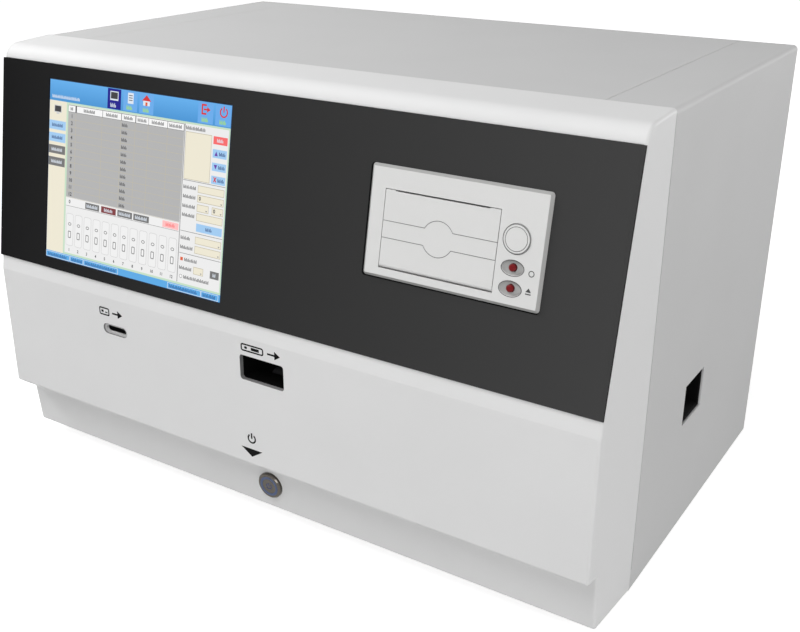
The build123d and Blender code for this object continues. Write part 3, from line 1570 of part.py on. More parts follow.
with BuildPart() as waste_chute:
    with BuildSketch(Plane.XZ.offset(-carousel_y)):
        with BuildLine():
            Polyline(
                (chute_start_x, chute_top_z - chute_wall),
                (chute_end_x, chute_low_z - chute_wall),
                (chute_end_x, chute_low_z + chute_side),
                (chute_start_x, chute_top_z + chute_side),
                close=True,
            )
        make_face()
    extrude(amount=chute_half, both=True)
    with BuildSketch(Plane.XY.offset(plate_top)):
        with Locations((ejector_x, carousel_y)):
            Rectangle(ejector_leg_width, 2 * chute_half, align=(Align.MIN, Align.CENTER))
            Rectangle(
                ejector_leg_width, 2 * (chute_half - chute_wall),
                align=(Align.MIN, Align.CENTER), mode=Mode.SUBTRACT,
            )
    extrude(amount=chute_top_z - plate_top)
    with BuildSketch(Plane.XZ.offset(-carousel_y)):
        with BuildLine():
            Polyline(
                (chute_start_x, chute_top_z),
                (chute_end_x, chute_low_z),
                (chute_end_x, chute_low_z + 2 * chute_side),
                (chute_start_x, chute_top_z + 2 * chute_side),
                close=True,
            )
        make_face()
    extrude(amount=chute_half - chute_wall, both=True, mode=Mode.SUBTRACT)
waste_chute.part.label = "waste_chute"
export_step(waste_chute.part, "parts/waste_chute.step")
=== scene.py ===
import bmesh
import bpy
from math import cos, pi, radians, sin
from mathutils import Euler, Matrix, Vector


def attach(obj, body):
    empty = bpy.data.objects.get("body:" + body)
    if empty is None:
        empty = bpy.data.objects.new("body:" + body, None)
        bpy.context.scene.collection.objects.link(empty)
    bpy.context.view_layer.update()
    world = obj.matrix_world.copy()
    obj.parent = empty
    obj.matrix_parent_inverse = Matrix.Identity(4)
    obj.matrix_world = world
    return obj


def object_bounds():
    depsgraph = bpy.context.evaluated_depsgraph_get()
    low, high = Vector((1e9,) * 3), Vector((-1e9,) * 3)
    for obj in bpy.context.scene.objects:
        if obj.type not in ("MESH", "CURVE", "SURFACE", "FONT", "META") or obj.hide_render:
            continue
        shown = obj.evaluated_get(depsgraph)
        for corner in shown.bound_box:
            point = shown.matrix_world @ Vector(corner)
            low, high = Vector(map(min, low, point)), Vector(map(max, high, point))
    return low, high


# The CAD model, in metres. Outlines on its faces are in millimetres, and MM takes them to metres
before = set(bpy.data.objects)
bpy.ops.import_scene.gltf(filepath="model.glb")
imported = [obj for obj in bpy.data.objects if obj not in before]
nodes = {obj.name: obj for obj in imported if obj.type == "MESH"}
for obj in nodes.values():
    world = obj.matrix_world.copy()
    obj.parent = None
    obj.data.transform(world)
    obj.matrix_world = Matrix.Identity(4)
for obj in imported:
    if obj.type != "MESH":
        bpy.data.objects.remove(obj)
cad_low, cad_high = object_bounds()

MM = 0.001


def srgb(red, green, blue):
    """Linear colour of an 8-bit display colour, by the sRGB curve."""
    channels = [c / 255 for c in (red, green, blue)]
    return [c / 12.92 if c <= 0.04045 else ((c + 0.055) / 1.055) ** 2.4 for c in channels] + [1.0]


# Camera, at the photograph's place in metres and its pitch, roll and yaw in degrees
CAMERA_PLACE = (0.40304, -0.60367, 0.41219)
CAMERA_TURN = (66.850, 0.114, 32.917)
LENS = 47.79
SENSOR = 36.0
CLIP_NEAR = 0.01
CLIP_FAR = 50.0


def make_camera():
    data = bpy.data.cameras.new("camera")
    data.lens = LENS
    data.sensor_width = SENSOR
    data.clip_start = CLIP_NEAR
    data.clip_end = CLIP_FAR
    camera = bpy.data.objects.new("camera", data)
    pitch, roll, yaw = (radians(a) for a in CAMERA_TURN)
    turn = Euler((0, 0, yaw)).to_matrix() @ Euler((pitch - pi / 2, 0, 0)).to_matrix()
    turn = turn @ Euler((0, roll, 0)).to_matrix() @ Euler((pi / 2, 0, 0)).to_matrix()
    camera.matrix_world = turn.to_4x4()
    camera.location = CAMERA_PLACE
    bpy.context.scene.collection.objects.link(camera)
    bpy.context.scene.camera = camera


# Plain soft studio: a pale floor, a faint even sky and broad lamps, each with its place, size and energy
WORLD_LEVEL = 0.02
FLOOR_TONE = 0.6
FLOOR_HALF = 12.0
FLOOR_DROP = 0.2 * MM
FLOOR_LIFT_NEAR = 0.77
FLOOR_LIFT_FAR = 1.0
LIFT_START = 0.5
LIFT_END = 1.6
LAMP_TARGET = (0.0, 0.0, 0.15)
LAMPS = {
    "left_high": ((-1.6, -0.6, 1.6), 0.8, 14.6),
    "left_near": ((-0.8, -0.3, 0.9), 0.6, 3.8),
    "front_high": ((0.2, -1.4, 2.0), 1.0, 16.6),
    "front_right": ((1.2, -2.0, 0.9), 1.0, 20.5),
    "right_mid": ((2.2, 0.0, 1.0), 1.0, 9.4),
    "right_high": ((1.6, 0.4, 1.8), 1.0, 2.0),
    "rear_right": ((1.3, 2.5, 0.5), 1.0, 24.0),
}


def sight_mask(tree):
    """One for a ray from the camera, a gloss or a transmission, and none for the light on the object."""
    path = tree.nodes.new("ShaderNodeLightPath")
    total = path.outputs["Is Camera Ray"]
    for kind in ("Is Glossy Ray", "Is Transmission Ray"):
        add = tree.nodes.new("ShaderNodeMath")
        add.operation = "MAXIMUM"
        tree.links.new(total, add.inputs[0])
        tree.links.new(path.outputs[kind], add.inputs[1])
        total = add.outputs[0]
    return total


def make_world():
    world = bpy.data.worlds.new("studio")
    world.use_nodes = True
    tree = world.node_tree
    background = tree.nodes["Background"]
    background.inputs["Color"].default_value = (1, 1, 1, 1)
    level = tree.nodes.new("ShaderNodeMapRange")
    level.inputs["To Min"].default_value = WORLD_LEVEL
    level.inputs["To Max"].default_value = 1.0
    tree.links.new(sight_mask(tree), level.inputs["Value"])
    tree.links.new(level.outputs["Result"], background.inputs["Strength"])
    bpy.context.scene.world = world


def make_floor():
    """White floor that keeps a soft shadow near the object and turns plain white further out."""
    bpy.ops.mesh.primitive_plane_add(size=2 * FLOOR_HALF)
    floor = bpy.context.object
    floor.name = "floor"
    floor.location.z = cad_low.z - FLOOR_DROP
    material = bpy.data.materials.new("floor_white")
    material.use_nodes = True
    tree = material.node_tree
    shader = tree.nodes["Principled BSDF"]
    shader.inputs["Base Color"].default_value = (FLOOR_TONE, FLOOR_TONE, FLOOR_TONE, 1)
    shader.inputs["Roughness"].default_value = 1.0
    shader.inputs["Specular IOR Level"].default_value = 0.0
    shader.inputs["Emission Color"].default_value = (1, 1, 1, 1)
    place = tree.nodes.new("ShaderNodeTexCoord")
    reach = tree.nodes.new("ShaderNodeVectorMath")
    reach.operation = "LENGTH"
    tree.links.new(place.outputs["Object"], reach.inputs[0])
    lift = tree.nodes.new("ShaderNodeMapRange")
    lift.inputs["From Min"].default_value = LIFT_START
    lift.inputs["From Max"].default_value = LIFT_END
    lift.inputs["To Min"].default_value = FLOOR_LIFT_NEAR
    lift.inputs["To Max"].default_value = FLOOR_LIFT_FAR
    tree.links.new(reach.outputs["Value"], lift.inputs["Value"])
    seen = tree.nodes.new("ShaderNodeMath")
    seen.operation = "MULTIPLY"
    tree.links.new(sight_mask(tree), seen.inputs[0])
    tree.links.new(lift.outputs["Result"], seen.inputs[1])
    tree.links.new(seen.outputs[0], shader.inputs["Emission Strength"])
    floor.data.materials.append(material)


def make_lamps():
    for name, (place, size, energy) in LAMPS.items():
        data = bpy.data.lights.new(name, "AREA")
        data.shape = "DISK"
        data.size = size
        data.energy = energy
        lamp = bpy.data.objects.new(name, data)
        lamp.location = place
        lamp.rotation_euler = (Vector(LAMP_TARGET) - Vector(place)).to_track_quat("-Z", "Y").to_euler()
        bpy.context.scene.collection.objects.link(lamp)


# Frames of the flat faces that carry pieces, each with its axes right, up and out
FRONT = (0, -1, 0)
REAR = (0, 1, 0)

# Least cosine between a face and where it looks, and how finely planes are told apart
FACING = 0.8
FACE_STEP = 0.1 * MM
NORMAL_DIGITS = 2


def face_frame(node, toward, at_top=False):
    """Frame of a node's largest flat face that looks a given way, at its middle or its top edge."""
    mesh = nodes[node].data
    groups = {}
    for polygon in mesh.polygons:
        if polygon.normal.dot(Vector(toward)) > FACING:
            tilt = [round(part, NORMAL_DIGITS) for part in polygon.normal.yz]
            offset = round(polygon.normal.dot(polygon.center) / FACE_STEP)
            groups.setdefault((*tilt, offset), []).append(polygon)
    flat = max(groups.values(), key=lambda group: sum(p.area for p in group))
    out = flat[0].normal.normalized()
    right = Vector((0, 0, 1)).cross(out).normalized()
    up = out.cross(right)
    corners = [mesh.vertices[v].co for polygon in flat for v in polygon.vertices]
    across = [corner.dot(right) for corner in corners]
    rise = [corner.dot(up) for corner in corners]
    height = max(rise) if at_top else (min(rise) + max(rise)) / 2
    place = out * corners[0].dot(out) + right * (min(across) + max(across)) / 2 + up * height
    return Matrix.Translation(place) @ Matrix((right, up, out)).transposed().to_4x4()


fascia_frame = face_frame("fascia_panel", FRONT, at_top=True)
lower_frame = face_frame("front_housing", FRONT, at_top=True)
screen_frame = face_frame("touch_glass", FRONT)
bezel_frame = face_frame("printer_bezel", FRONT)
door_frame = face_frame("printer_door", FRONT)
release_frame = face_frame("release_button", FRONT)
switch_frame = face_frame("power_light_ring", FRONT)


# Finishes
GRAIN_DETAIL = 3.0
PATCH_TO_GRAIN = 60.0
TURN_PITCH = 0.25 * MM
EDGE_SAMPLES = 4
LEAST_ROUGHNESS = 0.02


def along(tree, direction, low, high):
    """Share from none to one of the way between two distances along a direction."""
    place = tree.nodes.new("ShaderNodeTexCoord")
    reach = tree.nodes.new("ShaderNodeVectorMath")
    reach.operation = "DOT_PRODUCT"
    reach.inputs[1].default_value = direction
    tree.links.new(place.outputs["Object"], reach.inputs[0])
    share = tree.nodes.new("ShaderNodeMapRange")
    share.inputs["From Min"].default_value = low
    share.inputs["From Max"].default_value = high
    tree.links.new(reach.outputs["Value"], share.inputs["Value"])
    return share.outputs["Result"]


def rings(tree, centre, pitch):
    """Pattern of fine rings round a frame's out axis, as a turned surface shows them."""
    place = tree.nodes.new("ShaderNodeTexCoord")
    arm = tree.nodes.new("ShaderNodeVectorMath")
    arm.operation = "SUBTRACT"
    arm.inputs[1].default_value = centre.translation
    tree.links.new(place.outputs["Object"], arm.inputs[0])
    side = tree.nodes.new("ShaderNodeVectorMath")
    side.operation = "CROSS_PRODUCT"
    side.inputs[1].default_value = centre.col[2].to_3d()
    tree.links.new(arm.outputs["Vector"], side.inputs[0])
    radius = tree.nodes.new("ShaderNodeVectorMath")
    radius.operation = "LENGTH"
    tree.links.new(side.outputs["Vector"], radius.inputs[0])
    noise = tree.nodes.new("ShaderNodeTexNoise")
    noise.noise_dimensions = "1D"
    noise.inputs["Scale"].default_value = 1 / pitch
    tree.links.new(radius.outputs["Value"], noise.inputs["W"])
    return noise.outputs["Fac"]


# Places of the sockets that a mix of two colours uses, among all those of a mix node
MIX_SHARE = 0
MIX_FIRST = 6
MIX_SECOND = 7
MIX_RESULT = 2


def mixed(tree, share, first, second):
    """Mix of two colours, where either may come from another node."""
    mix = tree.nodes.new("ShaderNodeMix")
    mix.data_type = "RGBA"
    tree.links.new(share, mix.inputs[MIX_SHARE])
    for place, colour in ((MIX_FIRST, first), (MIX_SECOND, second)):
        if isinstance(colour, list):
            mix.inputs[place].default_value = colour
        else:
            tree.links.new(colour, mix.inputs[place])
    return mix.outputs[MIX_RESULT]


def surface(name, colour, roughness, metallic=0.0, grain=900.0, shade=0.03, bump=0.02 * MM,
            rough_spread=0.06, specular=0.2, edge=0.0, coat=0.0, turn=None, blends=()):
    """Material with a fine grain in its colour, roughness and height.

    An edge softens sharp corners and a turn is the frame of a turned surface. Each blend is a further
    colour with the direction and the two distances over which the colour so far turns into it."""
    material = bpy.data.materials.new(name)
    material.use_nodes = True
    tree = material.node_tree
    shader = tree.nodes["Principled BSDF"]
    shader.inputs["Metallic"].default_value = metallic
    shader.inputs["Specular IOR Level"].default_value = specular
    shader.inputs["Coat Weight"].default_value = coat
    place = tree.nodes.new("ShaderNodeTexCoord")
    noise = tree.nodes.new("ShaderNodeTexNoise")
    noise.inputs["Scale"].default_value = grain
    noise.inputs["Detail"].default_value = GRAIN_DETAIL
    patches = tree.nodes.new("ShaderNodeTexNoise")
    patches.inputs["Scale"].default_value = grain / PATCH_TO_GRAIN
    for texture in (noise, patches):
        tree.links.new(place.outputs["Object"], texture.inputs["Vector"])
    low = [c * (1 - shade) for c in colour[:3]] + [1]
    high = [min(1, c * (1 + shade)) for c in colour[:3]] + [1]
    tone = mixed(tree, patches.outputs["Fac"], low, high)
    for further, direction, start, end in blends:
        tone = mixed(tree, along(tree, direction, start, end), tone, further)
    tree.links.new(tone, shader.inputs["Base Color"])
    height = rings(tree, turn, TURN_PITCH) if turn else noise.outputs["Fac"]
    spread = tree.nodes.new("ShaderNodeMapRange")
    spread.inputs["To Min"].default_value = max(LEAST_ROUGHNESS, roughness - rough_spread)
    spread.inputs["To Max"].default_value = min(1.0, roughness + rough_spread)
    tree.links.new(height, spread.inputs["Value"])
    tree.links.new(spread.outputs["Result"], shader.inputs["Roughness"])
    relief = tree.nodes.new("ShaderNodeBump")
    relief.inputs["Distance"].default_value = bump
    tree.links.new(height, relief.inputs["Height"])
    if edge:
        soften = tree.nodes.new("ShaderNodeBevel")
        soften.samples = EDGE_SAMPLES
        soften.inputs["Radius"].default_value = edge
        tree.links.new(soften.outputs["Normal"], relief.inputs["Normal"])
    tree.links.new(relief.outputs["Normal"], shader.inputs["Normal"])
    return material


# Tone of the printer's plastic, the painted shade of its dishes, chamfers and grooves, and the depths
# and bands over which one turns into the other
PLASTIC = srgb(219, 219, 218)
DISH_PAINTED_SHADE = srgb(168, 168, 167)
GROOVE_PAINTED_SHADE = srgb(108, 108, 108)
FACE_BAND = 0.05 * MM
GROOVE_BAND = 0.25 * MM
TURN_BAND = 0.1 * MM
CHAMFER_DEPTH = 2.0 * MM
GROOVE_DEPTH = 0.5 * MM
DOOR_FOOT = -23.3 * MM


def printer_finish(name, face, deep, depth, foot=None):
    """Printer plastic with painted shade: darker down to a depth below its face, in grooves, dishes and
    chamfers, where shade falls.

    The rounding below a foot, a height from the middle of the bezel, keeps the plain colour."""
    up, out = (face.col[i].to_3d() for i in (1, 2))
    level = face.translation.dot(out)
    blends = [(PLASTIC, out, level - GROOVE_BAND, level - FACE_BAND),
              (PLASTIC, -out, depth - level, depth + TURN_BAND - level)]
    if foot is not None:
        height = bezel_frame.translation.dot(up) + foot
        blends.append((PLASTIC, -up, -height - TURN_BAND, -height))
    return surface(name, deep, 0.45, edge=0.15 * MM, blends=blends)


def cad_finishes():
    """A finish for every material slot of the record. The fascia's black grows paler to the right, as a
    painted reflection.
    """
    return {
        "housing_plastic": surface("housing_finish", srgb(225, 225, 225), 0.50, specular=0.1,
                                   edge=0.4 * MM),
        "cover_paint": surface("cover_finish", srgb(206, 206, 206), 0.60, grain=700, specular=0.05,
                               edge=0.4 * MM),
        # Fascia black with a painted reflection: it pales from left to right
        "fascia_black": surface(
            "fascia_with_painted_reflection", srgb(6, 6, 7), 0.55, specular=0.05, edge=0.3 * MM,
            blends=[(srgb(64, 64, 64), (1, 0, 0), cad_low.x, cad_high.x)],
        ),
        "screen_glass": surface("glass_finish", srgb(8, 10, 14), 0.15, bump=0.0),
        # Bezel plastic with painted shade in its dishes and chamfers
        "printer_plastic": printer_finish("bezel_with_painted_shade", bezel_frame, DISH_PAINTED_SHADE, CHAMFER_DEPTH),
        "button_red": surface("red_finish", srgb(112, 12, 18), 0.35),
        "switch_steel": surface("switch_finish", srgb(84, 80, 75), 0.22, metallic=0.85,
                                turn=switch_frame, edge=0.3 * MM),
        "light_blue": surface("ring_finish", srgb(66, 84, 122), 0.30),
        "black_plastic": surface("black_finish", srgb(20, 20, 21), 0.50),
        "board_green": surface("board_finish", srgb(30, 92, 58), 0.40),
        "roller_rubber": surface("rubber_finish", srgb(38, 38, 40), 0.75),
        "sheet_zinc": surface("zinc_finish", srgb(176, 180, 184), 0.40, metallic=0.9),
        "machined_alloy": surface("alloy_finish", srgb(190, 192, 196), 0.35, metallic=1.0),
        "steel_bright": surface("steel_finish", srgb(172, 172, 176), 0.26, metallic=1.0),
        "motor_black": surface("motor_finish", srgb(34, 34, 36), 0.40, metallic=0.3),
        "carousel_plastic": surface("carousel_finish", srgb(60, 64, 72), 0.40),
        "paper_white": surface("paper_finish", srgb(244, 244, 240), 0.85),
        "pin_brass": surface("brass_finish", srgb(196, 164, 92), 0.30, metallic=1.0),
        "lens_glass": surface("lens_finish", srgb(70, 80, 110), 0.08, coat=0.5),
    }


def dress_nodes():
    """Every node gets its slot's finish, or one of its own."""
    finishes = cad_finishes()
    own = {
        # Door and release button plastic with painted shade in their grooves
        "printer_door": printer_finish("door_with_painted_shade", door_frame, GROOVE_PAINTED_SHADE, GROOVE_DEPTH, DOOR_FOOT),
        "release_button": printer_finish("release_with_painted_shade", release_frame, GROOVE_PAINTED_SHADE, GROOVE_DEPTH),
        # Near black in place of its alloy: painted shade for the dark inside of the side outlet
        "waste_chute": surface("chute_painted_shade", srgb(9, 9, 9), 0.70, specular=0.05),
        "card_guide": surface("guide_finish", srgb(9, 9, 9), 0.60, specular=0.05),
        "front_frame": surface("frame_finish", srgb(84, 84, 85), 0.60),
    }
    for name, node in nodes.items():
        finish = own.get(name, finishes[node.data.materials[0].name])
        node.data.materials.clear()
        node.data.materials.append(finish)


# Outlines in millimetres, with right and up positive
def box(x0, y0, x1, y1):
    return [(x0, y0), (x1, y0), (x1, y1), (x0, y1)]


def oval(x, y, half_width, half_height, steps=28):
    turns = [2 * pi * step / steps for step in range(steps)]
    return [(x + half_width * cos(a), y + half_height * sin(a)) for a in turns]


def soft_box(shape, grow=0.0, steps=4):
    """Box with round corners from its middle, half sizes and corner, grown or shrunk on all sides."""
    (x, y), (half_x, half_y), corner = shape
    radius = corner + grow
    reach_x = half_x - corner
    reach_y = half_y - corner
    middles = ((x + reach_x, y + reach_y), (x - reach_x, y + reach_y),
               (x - reach_x, y - reach_y), (x + reach_x, y - reach_y))
    points = []
    for quarter, (middle_x, middle_y) in enumerate(middles):
        for step in range(steps + 1):
            a = (quarter + step / steps) * pi / 2
            points.append((middle_x + radius * cos(a), middle_y + radius * sin(a)))
    return points


def arc_band(x, y, inner, outer, first, last, steps=24):
    """Part of a ring between two angles in degrees."""
    turns = [radians(first + (last - first) * step / steps) for step in range(steps + 1)]
    return (
        [(x + outer * cos(a), y + outer * sin(a)) for a in turns]
        + [(x + inner * cos(a), y + inner * sin(a)) for a in reversed(turns)]
    )


def loop_band(outer, inner):
    """Ring between two closed outlines of as many points, as one strip of four-sided plates."""
    count = len(outer)
    return [
        [outer[i], outer[(i + 1) % count], inner[(i + 1) % count], inner[i]] for i in range(count)
    ]


def soft_ring(shape, width):
    return loop_band(soft_box(shape), soft_box(shape, -width))


def oval_ring(x, y, half_width, half_height, width):
    return loop_band(
        oval(x, y, half_width, half_height),
        oval(x, y, half_width - width, half_height - width),
    )


def shifted(outline, x, y):
    return [(x + point_x, y + point_y) for point_x, point_y in outline]


# Power symbol: the two ends of its ring in degrees, and its bar's length as a share of the radius
SYMBOL_ARC = (125, 415)
SYMBOL_BAR = 1.15


def power_symbol(x, y, radius, stroke):
    """Ring open at its top, with a bar from its middle up through the opening."""
    return [
        arc_band(x, y, radius - stroke, radius, *SYMBOL_ARC),
        box(x - stroke / 2, y, x + stroke / 2, y + radius * SYMBOL_BAR),
    ]


# Arrow: half height of its shaft, and length and half height of its head
ARROW_SHAFT = 0.6
ARROW_HEAD = (4.4, 2.8)


def arrow(x, y, length):
    """Arrow to the right, from the start of its shaft: the shaft's length, then the head."""
    tip = x + length
    reach, half = ARROW_HEAD
    return [
        box(x, y - ARROW_SHAFT, tip, y + ARROW_SHAFT),
        [(tip, y - half), (tip + reach, y), (tip, y + half)],
    ]


# Pieces made of thin closed plates on a face
TYPE_SCALE = 1.4
TYPE_WEIGHT = 0.03
TYPE_STEPS = 3


def add_plate(work, outline, low, high):
    """Closed prism over a flat outline, between two heights."""
    winding = sum(
        x0 * y1 - x1 * y0 for (x0, y0), (x1, y1) in zip(outline, outline[1:] + outline[:1])
    )
    points = outline if winding > 0 else outline[::-1]
    bottom = [work.verts.new((x, y, low)) for x, y in points]
    top = [work.verts.new((x, y, high)) for x, y in points]
    work.faces.new(top)
    work.faces.new(bottom[::-1])
    for i in range(len(points)):
        j = (i + 1) % len(points)
        work.faces.new((bottom[i], bottom[j], top[j], top[i]))


def add_figure(work, text, x, y, height, low, high):
    """Plain number, from Blender's own type, as a closed mesh."""
    data = bpy.data.curves.new("figure", "FONT")
    data.body = text
    data.size = height * TYPE_SCALE
    data.align_x = "CENTER"
    data.align_y = "CENTER"
    data.resolution_u = TYPE_STEPS
    data.offset = height * TYPE_WEIGHT
    data.extrude = (high - low) / 2
    curve = bpy.data.objects.new("figure", data)
    shape = bpy.data.meshes.new_from_object(curve)
    shape.transform(Matrix.Translation((x, y, (high + low) / 2)))
    work.from_mesh(shape)
    bpy.data.objects.remove(curve)
    bpy.data.curves.remove(data)
    bpy.data.meshes.remove(shape)


def piece(name, work, place, finish, body):
    """Object from a mesh in millimetres on a face's frame, riding on a body."""
    mesh = bpy.data.meshes.new(name)
    work.to_mesh(mesh)
    work.free()
    mesh.transform(place @ Matrix.Scale(MM, 4))
    mesh.materials.clear()
    mesh.materials.append(finish)
    made = bpy.data.objects.new(name, mesh)
    bpy.context.scene.collection.objects.link(made)
    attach(made, body)


def plates(name, place, outlines, low, high, finish, body):
    """Piece of plates over a list of outlines, all between the same two heights."""
    work = bmesh.new()
    for outline in outlines:
        add_plate(work, outline, low, high)
    piece(name, work, place, finish, body)


# Signs printed on the lower face, from the middle of its top edge
INK_LOW = -0.03
INK_HIGH = 0.05
STROKE = 1.0
CARD_SIGN = ((-128.2, -10.1), (4.8, 2.9), 1.2)
CARD_CHIP = (-131.0, -10.9, -128.9, -9.2)
CARD_BAR = (-127.4, -11.0, -125.2, -10.2)
CARD_ARROW = (-120.6, -10.1, 5.0)
CASSETTE_SIGN = ((2.5, -6.1), (9.1, 2.6), 1.6)
CASSETTE_WELL = (-2.6, -6.1, 1.2, 0.9)
CASSETTE_WINDOW = (1.6, -7.1, 8.0, -5.1)
CASSETTE_ARROW = (14.6, -6.1, 5.6)
SWITCH_SIGN = (-1.3, -69.9, 3.5, 1.15)
SWITCH_ARROW = [(-10.3, -77.5), (7.1, -77.5), (-1.6, -83.2)]


def make_marks():
    """What goes into each opening and which way, and the sign of a power switch with its arrow."""
    ink = surface("ink_finish", srgb(12, 12, 12), 0.60, specular=0.05)
    card = soft_ring(CARD_SIGN, STROKE) + [box(*CARD_CHIP), box(*CARD_BAR)] + arrow(*CARD_ARROW)
    cassette = soft_ring(CASSETTE_SIGN, STROKE) + [oval(*CASSETTE_WELL), box(*CASSETTE_WINDOW)]
    cassette += arrow(*CASSETTE_ARROW)
    power = power_symbol(*SWITCH_SIGN) + [SWITCH_ARROW]
    for name, outlines in (("card_mark", card), ("cassette_mark", cassette), ("power_mark", power)):
        plates(name, lower_frame, outlines, INK_LOW, INK_HIGH, ink, "chassis")


# Edges of the two openings in the lower face, each with its middle, half sizes and corner
PORT = ((9.4, -20.15), (17.4, 8.5), 2.0)
CARD_RECESS = ((-119.3, -22.4), (11.3, 3.7), 3.69)
CARD_SLOT = ((-119.3, -22.4), (9.3, 2.3), 2.29)
# Width and depths of the plates of painted shade on the walls of the openings and on the floor of the
# card recess
RECESS_SHADE_WIDTH = 0.12
PORT_SHADE_DEPTH = 3.0
RECESS_DEPTH = 1.2


def make_recess_shades():
    """Painted shade on the walls of the two openings, greyer than the face, and a paler painted shade on
    the floor of the card recess.
    """
    cut = surface("recess_wall_shade", srgb(130, 130, 130), 0.60)
    ledge = surface("recess_floor_shade", srgb(190, 190, 190), 0.60)
    floor = loop_band(soft_box(CARD_RECESS, -RECESS_SHADE_WIDTH), soft_box(CARD_SLOT))
    for name, outlines, low, high, finish in (
        ("port_wall_shade", soft_ring(PORT, RECESS_SHADE_WIDTH), -PORT_SHADE_DEPTH, INK_LOW, cut),
        ("card_wall_shade", soft_ring(CARD_RECESS, RECESS_SHADE_WIDTH), -RECESS_DEPTH, INK_LOW, cut),
        ("card_floor_shade", floor, -RECESS_DEPTH - RECESS_SHADE_WIDTH, -RECESS_DEPTH + RECESS_SHADE_WIDTH, ledge),
    ):
        plates(name, lower_frame, outlines, low, high, finish, "chassis")


# Printer trim, from the middle of the bezel's face. The two signs are placed from their dishes
SEL_DISH = (37.5, -10.5)
FEED_DISH = (37.5, -21.5)
DISH_RIM = (6.85, 4.35, 0.4)
SEL_RING = (11.0, -1.0, 1.7, 1.7, 0.45)
FEED_PEAK = [(8.9, 0.2), (12.1, 0.2), (10.5, 2.4)]
FEED_BAR = (8.9, -1.1, 12.1, -0.5)
SILL = ((0.0, 0.0), (55.65, 32.3), 2.8)
SILL_WIDTH = 0.8
SILL_HEIGHT = 0.6
# Dark line of painted shadow on the fascia along the bezel's left and bottom edges, whose outline stands
# out there
BEZEL_SHADOW = ((-0.65, -0.4), (55.5, 31.9), 2.0)
BEZEL_SHADOW_WIDTH = 1.3


def make_printer_trim():
    """Rims and signs of the button dishes, the fascia's sill round the bezel, and a painted shadow line
    beside the bezel at its left and below.
    """
    line = surface("line_finish", srgb(96, 96, 96), 0.60)
    dark = surface("bezel_painted_shadow", srgb(3, 3, 3), 0.80, specular=0.05)
    ink = surface("mark_finish", srgb(70, 70, 70), 0.60)
    rims = oval_ring(*SEL_DISH, *DISH_RIM) + oval_ring(*FEED_DISH, *DISH_RIM)
    plates("dish_rims", bezel_frame, rims, INK_LOW, INK_HIGH, line, "chassis")
    marks = [shifted(outline, *SEL_DISH) for outline in oval_ring(*SEL_RING)]
    marks += [shifted(outline, *FEED_DISH) for outline in (FEED_PEAK, box(*FEED_BAR))]
    plates("button_marks", bezel_frame, marks, INK_LOW, INK_HIGH, ink, "chassis")
    level = (fascia_frame.translation - bezel_frame.translation).dot(bezel_frame.col[2].to_3d()) / MM
    fascia = nodes["fascia_panel"].data.materials[0]
    plates("bezel_sill", bezel_frame, soft_ring(SILL, SILL_WIDTH), level - SILL_HEIGHT, level, fascia,
           "chassis")
    # Near-black plates at the fascia's face: painted shadow beside the bezel
    plates("bezel_shadow_line", bezel_frame, soft_ring(BEZEL_SHADOW, BEZEL_SHADOW_WIDTH), level + INK_LOW, level + INK_HIGH, dark,
           "chassis")


# Edges that take the fascia out to the housing's two sides, each with a thin rim of painted shade
FASCIA_HALF = 231.0
FASCIA_LENGTH = 139.2
FASCIA_PROUD = 1.1
EDGE_WIDTH = 1.9
RIM_WIDTH = 0.15


def make_fascia_edges():
    fascia = nodes["fascia_panel"].data.materials[0]
    # Near-black strip: painted shade on the fascia's side edge
    shaded = surface("fascia_rim_painted_shade", srgb(14, 14, 14), 0.60, specular=0.05)
    rim = FASCIA_HALF + EDGE_WIDTH - RIM_WIDTH
    for name, x0, x1, finish in (
        ("fascia_edges", FASCIA_HALF, rim, fascia),
        ("fascia_rims", rim, rim + RIM_WIDTH, shaded),
    ):
        outlines = [box(side * x0, -FASCIA_LENGTH, side * x1, 0) for side in (-1, 1)]
        plates(name, fascia_frame, outlines, -FASCIA_PROUD, 0, finish, "chassis")


# Light ring of the power switch and the symbol on its cap
RING_INNER = 5.5
RING_OUTER = 7.25
RING_LOW = -0.05
RING_HIGH = 0.06
CAP_SYMBOL = (0.0, 0.0, 2.3, 0.65)


def make_switch():
    light = surface("light_finish", srgb(76, 90, 124), 0.40)
    symbol = surface("symbol_finish", srgb(50, 64, 112), 0.40)
    ring = oval_ring(0, 0, RING_OUTER, RING_OUTER, RING_OUTER - RING_INNER)
    plates("switch_ring", switch_frame, ring, RING_LOW, RING_HIGH, light, "chassis")
    cap_frame = face_frame("power_switch_cap", FRONT)
    plates("switch_symbol", cap_frame, power_symbol(*CAP_SYMBOL), INK_LOW, INK_HIGH, symbol,
           "power_cap")


# Screws along both sides of the rear panel, each turned its own way by an even step in degrees
SCREW_X = (-222.0, 222.0)
SCREW_Z = (30.4, 111.4, 192.3, 273.3)
FIRST_TURN = 20
TURN_STEP = 37
SCREW_RADIUS = 3.2
SCREW_RIM = 0.9
SCREW_HEIGHT = 1.8
CROSS_HALF = 0.45
CROSS_REACH = 1.8
CROSS_DEPTH = 0.9
CUTTER_RISE = 1.0
DOME_STEPS = 5
ROUND_STEPS = 24


